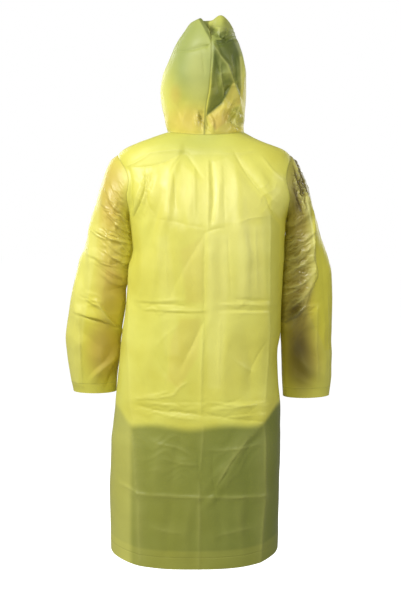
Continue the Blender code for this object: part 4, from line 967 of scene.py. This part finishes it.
class Nodes:
    """Short names for building a material's node tree."""

    def __init__(self, name):
        self.material = bpy.data.materials.new(name)
        self.material.use_nodes = True
        self.tree = self.material.node_tree
        self.tree.nodes.clear()
        self.place = self.add("ShaderNodeTexCoord").outputs["Object"]

    def add(self, kind, inputs=None, **settings):
        node = self.tree.nodes.new(kind)
        for key, value in settings.items():
            setattr(node, key, value)
        for key, value in (inputs or {}).items():
            if isinstance(value, bpy.types.NodeSocket):
                self.tree.links.new(value, node.inputs[key])
            else:
                node.inputs[key].default_value = value
        return node

    def mark(self, name):
        return self.add("ShaderNodeAttribute", attribute_name=name).outputs["Fac"]

    def scaled(self, value, low, high, to_low=0.0, to_high=1.0):
        inputs = {"Value": value, "From Min": low, "From Max": high, "To Min": to_low, "To Max": to_high}
        return self.add("ShaderNodeMapRange", inputs, interpolation_type="SMOOTHSTEP").outputs["Result"]

    def mix(self, share, a, b):
        """Indices 6 and 7 are the two colours, and output 2 is the mixed one."""
        return self.add("ShaderNodeMix", {0: share, 6: a, 7: b}, data_type="RGBA").outputs[2]

    def calculate(self, operation, a, b=0.0):
        return self.add("ShaderNodeMath", {0: a, 1: b}, operation=operation).outputs["Value"]

    def times(self, a, b):
        return self.calculate("MULTIPLY", a, b)

    def plus(self, a, b):
        return self.calculate("ADD", a, b)

    def noise(self, scale, detail):
        inputs = {"Vector": self.place, "Scale": scale, "Detail": detail}
        return self.add("ShaderNodeTexNoise", inputs).outputs["Fac"]

    def pinched(self, place, lean, stretch, scale):
        """Sharp ridges with smooth film between them, stretched and leaning by some degrees."""
        inputs = {"Vector": place, "Rotation": (0.0, math.radians(lean), 0.0), "Scale": stretch}
        moved = self.add("ShaderNodeMapping", inputs, vector_type="TEXTURE").outputs["Vector"]
        inputs = {"Vector": moved, "Scale": scale, "Detail": 3.0, "Roughness": 0.45, "Gain": 1.2}
        return self.add("ShaderNodeTexNoise", inputs, noise_type="RIDGED_MULTIFRACTAL").outputs["Fac"]

    def mirrored(self):
        """The place, the same on both sides of the middle."""
        parts = self.add("ShaderNodeSeparateXYZ", {"Vector": self.place}).outputs
        inputs = {"X": self.calculate("ABSOLUTE", parts["X"]), "Y": parts["Y"], "Z": parts["Z"]}
        return self.add("ShaderNodeCombineXYZ", inputs).outputs["Vector"]

    def finished(self, shader):
        self.add("ShaderNodeOutputMaterial", {"Surface": shader.outputs[0]})
        return self.material


def film_material():
    """Translucent satin film: tone, painted highlights and painted shade from the marks, thin welded lines
    and a fine crumple.
    """
    n = Nodes("lime_film")
    colour = n.mix(n.scaled(n.noise(7.0, 3.0), 0.35, 0.65), LIME, DEEP)
    for mark, tone in TONES.items():
        colour = n.mix(n.mark(mark), colour, tone)
    for mark, reach, share in (("seam_mm", 2.6, 0.38), ("weld_mm", 2.0, 0.25)):
        colour = n.mix(n.scaled(n.mark(mark), 0.4, reach, share, 0.0), colour, WELD)
    height = n.plus(n.times(n.noise(38.0, 4.0), 0.7), n.times(n.noise(420.0, 2.0), 0.08))
    height = n.plus(height, n.times(n.pinched(n.place, 0.0, (0.6, 1.0, 2.2), 26.0), 0.05))
    fine = n.pinched(n.mirrored(), -26.0, (3.4, 1.0, 1.0), 62.0)
    height = n.plus(height, n.times(fine, n.scaled(n.mark("pinch"), 0.0, 1.0, 0.0, 1.5)))
    for mark, reach, sunk in (("seam_mm", 4.0, 0.5), ("weld_mm", 2.5, 0.35)):
        height = n.plus(height, n.scaled(n.mark(mark), 0.0, reach, 0.0, sunk))
    bump = n.add("ShaderNodeBump", {"Height": height, "Strength": 0.55, "Distance": 0.0016})
    rough = n.scaled(n.noise(22.0, 2.0), 0.3, 0.7, 0.36, 0.48)
    for mark, change in (("pinch", -0.16), ("sage", 0.16)):
        rough = n.plus(rough, n.scaled(n.mark(mark), 0.0, 1.0, 0.0, change))
    shader = n.add("ShaderNodeBsdfPrincipled", {
        "Base Color": colour,
        "Roughness": rough,
        "Normal": bump.outputs["Normal"],
        "Specular IOR Level": 0.50,
        "Coat Weight": 0.05,
        "Coat Roughness": 0.35,
    })
    glow = n.add("ShaderNodeBsdfTranslucent", {"Color": colour, "Normal": bump.outputs["Normal"]})
    both = {0: 0.27, 1: shader.outputs[0], 2: glow.outputs[0]}
    return n.finished(n.add("ShaderNodeMixShader", both))


def snap_material():
    """Moulded lime plastic with a fine unevenness."""
    n = Nodes("snap_plastic")
    bump = n.add("ShaderNodeBump", {"Height": n.noise(900.0, 2.0), "Distance": 0.0002})
    return n.finished(n.add("ShaderNodeBsdfPrincipled", {
        "Base Color": n.mix(n.scaled(n.noise(260.0, 2.0), 0.3, 0.7), LIME, DEEP),
        "Roughness": n.scaled(n.noise(500.0, 1.0), 0.3, 0.7, 0.2, 0.34),
        "Normal": bump.outputs["Normal"],
    }))


def floor_material():
    """Pale matte studio floor with a faint mottle."""
    n = Nodes("studio_floor")
    return n.finished(n.add("ShaderNodeBsdfPrincipled", {
        "Base Color": n.mix(n.noise(2.0, 2.0), (0.90, 0.90, 0.90, 1.0), (0.93, 0.93, 0.93, 1.0)),
        "Roughness": 0.8,
        "Emission Color": WHITE,
        "Emission Strength": 0.72,
    }))


# ---- back and fronts
def make_back(film):
    grid = back_grid()
    fade = fade_to(distance_to(grid, [grid[:, 0], grid[:, -1], grid[-1]]))
    fine, relief = folded(
        grid, BACK_DRAPES, BACK_CREASES, BACK_CRUMPLES, fade, seed=11, gain=0.95, crisp=0.25
    )
    marks = body_marks(fine, [fine[:, 0], fine[:, -1], fine[-1]], relief)
    return add_sheet("back_film", *turned_up(fine, marks, HEM_TURN_UP), film, "back_panel", "body_film")


def make_front(name, node, side, film):
    grid = front_grid(side)
    fade = fade_to(distance_to(grid, [grid[:, 0], grid[-1]]))
    fade = fade * fade_to(side * beside_middle(grid) - LAPEL_CALM)
    fine, relief = folded(
        grid, FRONT_DRAPES, FRONT_CREASES, FRONT_CRUMPLES, fade, seed=21 + side, gain=1.0, crisp=0.3
    )
    if side == LEFT:
        step = LAPEL_STEP * ease((LAPEL_REACH - beside_middle(fine)) / LAPEL_RAMP)
        fine = fine + grid_normals(fine, False) * step[..., None]
    marks = body_marks(fine, [fine[:, 0], fine[-1]], relief)
    lapel = np.abs(distance_to(fine, [fine[:, -1]]) - LAPEL_WELD) / MM
    marks["weld_mm"] = np.minimum(marks["weld_mm"], lapel)
    return add_sheet(name, *turned_up(fine, marks, HEM_TURN_UP), film, node, "body_film")


# ---- sleeves
def armhole_loop(side):
    """Armhole's edge from its top, down behind and up again in front."""
    levels = [level for level in row_levels() if ARMPIT_LEVEL <= level <= SHOULDER_LEVEL][::-1]
    end = 0 if side == LEFT else -1
    behind, before = [
        [section_line(level, face, armhole_angle(level, face))[end] for level in levels]
        for face in (BACK, FRONT)
    ]
    return np.array(behind + before[-2:0:-1])


def sleeve_grid(side):
    """Outer face of a sleeve, from the armhole to the cuff."""
    start = armhole_loop(side)
    turn = np.linspace(0.0, 2 * math.pi, len(start), endpoint=False)
    top, bottom = start[0], start[len(start) // 2]
    rows = SLEEVES[side]
    first = (0.0, side * top[0], top[2], side * bottom[0], bottom[2], ARMHOLE_REACH, 0.0)
    rows = np.concatenate((np.array([first], dtype=rows.dtype), rows))
    rings = []
    for at in np.linspace(0.0, rows["ring"][-1], SLEEVE_ROWS + 1):
        ring_at = look_up(rows, at)
        outer = np.array([side * ring_at["outer_x"], 0.0, ring_at["outer_z"]])
        inner = np.array([side * ring_at["inner_x"], 0.0, ring_at["inner_z"]])
        ring = (outer + inner) / 2 + np.cos(turn)[:, None] * (outer - inner) / 2
        ring[:, 1] = ring_at["middle_y"] + ring_at["reach"] * np.sin(turn)
        if not rings:
            armhole = start - ring
        rings.append(ring + armhole * (1 - ease(at / SLEEVE_EASE_RINGS)))
    return np.array(rings)


def against_body(grid, side, turn):
    """A sleeve's grid with its inner side let out until it almost touches the body."""
    z = grid[..., 2]
    section = look_up(BODY, z)
    body_edge = side * section["middle"] + section["half_width"]
    inner = side * grid[..., 0]
    facing = ease(-INNER_SIDE[0] * np.cos(turn) - INNER_SIDE[1])
    span = ease((TOUCH_TOP - z) / TOUCH_FADE[0]) * ease((z - TOUCH_LEVEL[side]) / TOUCH_FADE[1])
    room = np.clip(inner.min(axis=1, keepdims=True) - body_edge - TOUCH_GAP, 0.0, TOUCH_REACH)
    moved = grid.copy()
    moved[..., 0] -= side * room * facing * span
    return moved


def make_sleeve(name, node, side, film):
    grid = sleeve_grid(side)
    turn = np.linspace(0.0, 2 * math.pi, grid.shape[1], endpoint=False)
    grid = against_body(grid, side, turn)
    fade = 1.0
    for edge, reach in zip((grid[0], grid[-1]), SLEEVE_FADES):
        fade = fade * fade_to(distance_to(grid, [edge]), reach)
    behind, relief_behind = folded(
        grid, SLEEVE_BACK_DRAPES, SLEEVE_BACK_CREASES, SLEEVE_CRUMPLES, fade, True, 41 + side
    )
    before, relief_before = folded(
        grid, SLEEVE_FRONT_DRAPES, SLEEVE_FRONT_CREASES, SLEEVE_CRUMPLES, fade, True, 51 + side
    )
    share = ease(0.5 + SLEEVE_TURN * np.sin(turn))
    fine = before + (behind - before) * share[:, None]
    relief = (relief_before + (relief_behind - relief_before) * share) / RELIEF
    marks = plain_marks(fine)
    x, z = fine[..., 0], fine[..., 2]
    # Painted highlights on ridges and painted shade in hollows, stronger on the right sleeve's listed
    # facets.
    gloss = facet_sums(SLEEVE_PAINTED_GLINT_AND_SHADE, x, z)["gloss"] if side == RIGHT else 0.0
    marks["pale"] = np.clip(relief, 0, 1) * (RIDGE_PAINTED_HIGHLIGHT + PAINTED_GLINT_AND_SHADE_SHARES[0] * gloss)
    marks["brown"] = np.clip(-relief, 0, 1) * (HOLLOW_PAINTED_SHADE["sleeve"] + PAINTED_GLINT_AND_SHADE_SHARES[1] * gloss)
    marks = toned(marks, SLEEVE_SPOTS[side], SLEEVE_FACETS[side], x, z)
    seam, cuff = [distance_to(fine, [np.vstack((ring, ring[:1]))]) for ring in (fine[0], fine[-1])]
    marks["seam_mm"] = seam / MM
    marks["weld_mm"] = np.abs(cuff - CUFF_TURN_UP) / MM
    marks = {name: values[::-1] for name, values in marks.items()}
    fine, marks = turned_up(fine[::-1], marks, CUFF_TURN_UP, True)
    return add_sheet(name, fine, marks, film, node, "sleeve_film", closed=True)


# ---- hood
def neck_half(side):
    """Neckline of one half, from the middle of the back to the front edge."""
    behind, before = neckline(BACK)[::side], neckline(FRONT)[::side]
    line = np.concatenate((behind[: FINE // 2][::-1], before[1:]))
    line[0, 0] = 0.0
    stop = np.argmax(side * line[FINE // 2 :, 0] < HOOD["open_half"][0]) + FINE // 2
    return line[:stop]


def hood_row(row, side):
    """Fine line round one half of the hood, from the back seam to the face opening's edge."""
    at = look_up(HOOD, row)
    wide_x = at["left_x"] if side == LEFT else at["right_x"]
    wide_x = side * max(side * wide_x, side * at["seam_x"])
    edge_x = at["brow_x"] + side * at["open_half"]
    turn = np.linspace(0.0, math.pi / 2, FINE // 2)[:, None]
    out, back = np.sin(turn), np.cos(turn)
    behind = np.hstack([
        at["seam_x"] + (wide_x - at["seam_x"]) * out,
        at["side_y"] + (at["back_y"] - at["side_y"]) * back,
        at["side_z"] + (at["back_z"] - at["side_z"]) * back**2,
    ])
    run = np.linspace(0.0, 1.0, FINE // 2)[1:, None]
    before = np.hstack([
        wide_x + (edge_x - wide_x) * run**FACE_CURVE,
        at["side_y"] + (at["edge_y"] - at["side_y"]) * run,
        at["side_z"] + (at["edge_z"] - at["side_z"]) * ease(run),
    ])
    return np.concatenate((behind, before))


def hood_grid(side):
    """Outer face of one half of the hood, rows from the neck to the crown."""
    levels = np.linspace(0.0, HOOD["row"][-1], HOOD_ROWS + 1)
    neck = divide(neck_half(side), HOOD_COLUMNS)
    rows = []
    for row in levels:
        line = divide(hood_row(row, side), HOOD_COLUMNS)
        rows.append(line + (neck - line) * (1 - ease(row / NECK_EASE_ROWS)))
    grid = np.array(rows)
    x, y, z = np.moveaxis(grid, -1, 0)
    off_seam = x - smooth(HOOD["row"], HOOD["seam_x"], levels)[:, None]
    if side == LEFT:
        pocket = POCKET_EDGE[0] + (z - POCKET_EDGE[1]) * POCKET_EDGE[2] - x + off_seam
        share = off_seam / np.maximum(pocket, POCKET_LEAST)
        beside = 1 - ease((share - DIMPLE_FLAT) / (1 - DIMPLE_FLAT))
    else:
        beside = np.exp(-((off_seam / DIMPLE_WIDTH) ** 2))
    place = ((y - DIMPLE_CENTRE[0]) / DIMPLE_REACH[0]) ** 2
    place += ((z - DIMPLE_CENTRE[1]) / DIMPLE_REACH[1]) ** 2
    depth = DIMPLE_DEPTH * beside * np.exp(-place)
    moved = grid + depth[..., None] * np.array(DIMPLE_DIRECTION)
    for centre, reach, rise in HOOD_LUMPS:
        away = np.linalg.norm(grid - np.array(centre), axis=2) / reach
        moved[..., 2] += rise * np.exp(-(away**2))
    return moved


def make_hood(name, node, side, film):
    grid = hood_grid(side)
    fade = fade_to(distance_to(grid, [grid[:, 0], grid[0], grid[-1]]), HOOD_FADES[0])
    fade = fade * fade_to(distance_to(grid, [grid[:, -1]]), HOOD_FADES[1])
    behind, relief = folded(
        grid, HOOD_BACK_DRAPES, HOOD_BACK_CREASES, HOOD_CRUMPLES, fade, seed=61 + side, seen=True
    )
    before, _ = folded(grid, HOOD_FRONT_DRAPES, HOOD_FRONT_DRAPES, HOOD_CRUMPLES, fade, seed=71 + side)
    share = ease(0.5 + grid[..., 1] / HOOD_TURN)
    fine = before + (behind - before) * share[..., None]
    relief = relief * share / RELIEF
    marks = plain_marks(fine)
    x, z = as_seen(fine)
    # Painted highlights on ridges and painted shade in hollows.
    marks["pale"] = np.clip(relief, 0, 1) * RIDGE_PAINTED_HIGHLIGHT
    marks["olive"] = np.clip(-relief, 0, 1) * HOOD_HOLLOW_PAINTED_SHADE
    marks = toned(marks, HOOD_SPOTS[side], [], x, z)
    marks["pinch"] = marks["pinch"] * share
    behind_marks = toned(marks, {}, HOOD_FACETS, x, z)
    marks = {mark: value + (behind_marks[mark] - value) * share for mark, value in marks.items()}
    shade = distance_to(fine, [fine[: int(HOOD_SEAM_END * HOOD_ROWS), 0]]) / HOOD_SEAM_SHADE
    marks["olive"] = np.maximum(marks["olive"], HOOD_SEAM_OLIVE * (1 - ease(shade)))
    marks["seam_mm"] = distance_to(fine, [fine[:, 0], fine[0], fine[-1]]) / MM
    marks["weld_mm"] = np.abs(distance_to(fine, [fine[:, -1]]) - FACE_TURN_IN) / MM
    return add_sheet(name, fine, marks, film, node, "hood_film")


# ---- snaps
def make_snap(name, node, material):
    """Turned snap cap with a rim and a shallow dish, on the front of its solid."""
    low, high = (Vector(corner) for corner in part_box(node))
    middle = (low + high) / 2
    facing = Vector((0.0, -1.0, 0.0))
    centre = Vector((middle.x, high.y, middle.z))
    profile = (  # share of the radius and of the height
        (1.00, 0.00), (1.02, 0.25), (0.99, 0.55), (0.92, 0.78), (0.84, 0.88),
        (0.76, 0.84), (0.68, 0.74), (0.52, 0.80), (0.34, 0.92), (0.16, 0.99),
    )
    turns = [2 * math.pi * i / SNAP_SIDES for i in range(SNAP_SIDES)]
    mesh = bmesh.new()
    loops = []
    for share, rise in profile:
        ring = [Vector((math.cos(turn), 0.0, math.sin(turn))) * share * SNAP_RADIUS for turn in turns]
        loops.append([mesh.verts.new(centre + facing * rise * SNAP_HEIGHT + spoke) for spoke in ring])
    tip = mesh.verts.new(centre + facing * SNAP_HEIGHT)
    around = [(i, (i + 1) % SNAP_SIDES) for i in range(SNAP_SIDES)]
    for inner, outer in zip(loops, loops[1:]):
        for i, k in around:
            mesh.faces.new([inner[i], inner[k], outer[k], outer[i]])
    for i, k in around:
        mesh.faces.new([loops[-1][i], loops[-1][k], tip])
    mesh.faces.new(loops[0][::-1])
    bmesh.ops.recalc_face_normals(mesh, faces=mesh.faces)
    data = bpy.data.meshes.new(name)
    mesh.to_mesh(data)
    mesh.free()
    return add_piece(name, data, material, 50, node)


# ---- studio
def add_camera():
    data = bpy.data.cameras.new("camera")
    data.sensor_fit = "HORIZONTAL"
    data.sensor_width = SENSOR
    data.lens = SENSOR * FOCAL_PIXELS / PICTURE[0]
    data.shift_x = (PICTURE[0] / 2 - MIDDLE_PIXEL[0]) / PICTURE[0]
    data.shift_y = (MIDDLE_PIXEL[1] - PICTURE[1] / 2) / PICTURE[0]
    camera = add_object("camera", data)
    camera.location = (0.0, CAMERA_DISTANCE, CAMERA_HEIGHT)
    camera.rotation_euler = (math.pi / 2, 0.0, math.pi)
    bpy.context.scene.camera = camera


def add_light(name, place, target, size, power):
    data = bpy.data.lights.new(name, "AREA")
    data.shape = "RECTANGLE"
    data.size, data.size_y = size
    data.energy = power
    light = add_object(name, data)
    light.location = place
    light.rotation_euler = (Vector(target) - Vector(place)).to_track_quat("-Z", "Y").to_euler()


def add_world():
    """White behind the coat, and a weaker white that lights it."""
    world = bpy.data.worlds.new("studio")
    bpy.context.scene.world = world
    world.use_nodes = True
    tree = world.node_tree
    lighting = tree.nodes["Background"]
    backdrop = tree.nodes.new("ShaderNodeBackground")
    for background, strength in ((lighting, 0.31), (backdrop, 1.0)):
        background.inputs["Color"].default_value = WHITE
        background.inputs["Strength"].default_value = strength
    mixed = tree.nodes.new("ShaderNodeMixShader")
    path = tree.nodes.new("ShaderNodeLightPath")
    sources = (path.outputs["Is Camera Ray"], lighting.outputs[0], backdrop.outputs[0])
    for i, source in enumerate(sources):
        tree.links.new(source, mixed.inputs[i])
    tree.links.new(mixed.outputs[0], tree.nodes["World Output"].inputs["Surface"])


def add_floor():
    data = bpy.data.meshes.new("floor")
    corners = [(-1, -1), (1, -1), (1, 1), (-1, 1)]
    data.from_pydata([(x * FLOOR_SPAN, y * FLOOR_SPAN, FLOOR_LEVEL) for x, y in corners], [], [(0, 1, 2, 3)])
    data.materials.append(floor_material())
    floor = add_object("floor", data)
    for ray in ("diffuse", "glossy", "transmission"):
        setattr(floor, "visible_" + ray, False)


def add_studio():
    add_light("key", (2.2, 1.6, 1.5), (0.0, 0.1, -0.35), (0.9, 1.2), 90)
    add_light("broad", (0.5, 3.1, 1.1), (0.0, 0.0, -0.25), (1.2, 1.1), 50)
    add_light("fill", (-2.4, 1.7, 0.3), (0.0, 0.0, -0.5), (0.8, 1.2), 17)
    add_light("front_left", (1.7, -2.1, 0.6), (0.0, 0.0, -0.45), (1.0, 1.6), 30)
    add_light("front_right", (-1.6, -2.1, 0.4), (0.0, 0.0, -0.5), (1.0, 1.6), 13)
    add_world()
    add_floor()
    view = bpy.context.scene.view_settings
    view.view_transform = "Standard"
    view.look = "None"


def main():
    add_camera()
    add_studio()
    film = film_material()
    snap = snap_material()
    pieces = [make_back(film)]
    for part, make in (("front", make_front), ("sleeve", make_sleeve), ("hood", make_hood)):
        for side, word in ((LEFT, "left"), (RIGHT, "right")):
            pieces.append(make(f"{part}_film_{word}", f"{part}_{word}", side, film))
    for number in range(1, SNAPS + 1):
        pieces.append(make_snap(f"snap_cap_{number}", f"snap_{number}", snap))
    for piece in pieces:
        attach(piece, "root")


main()
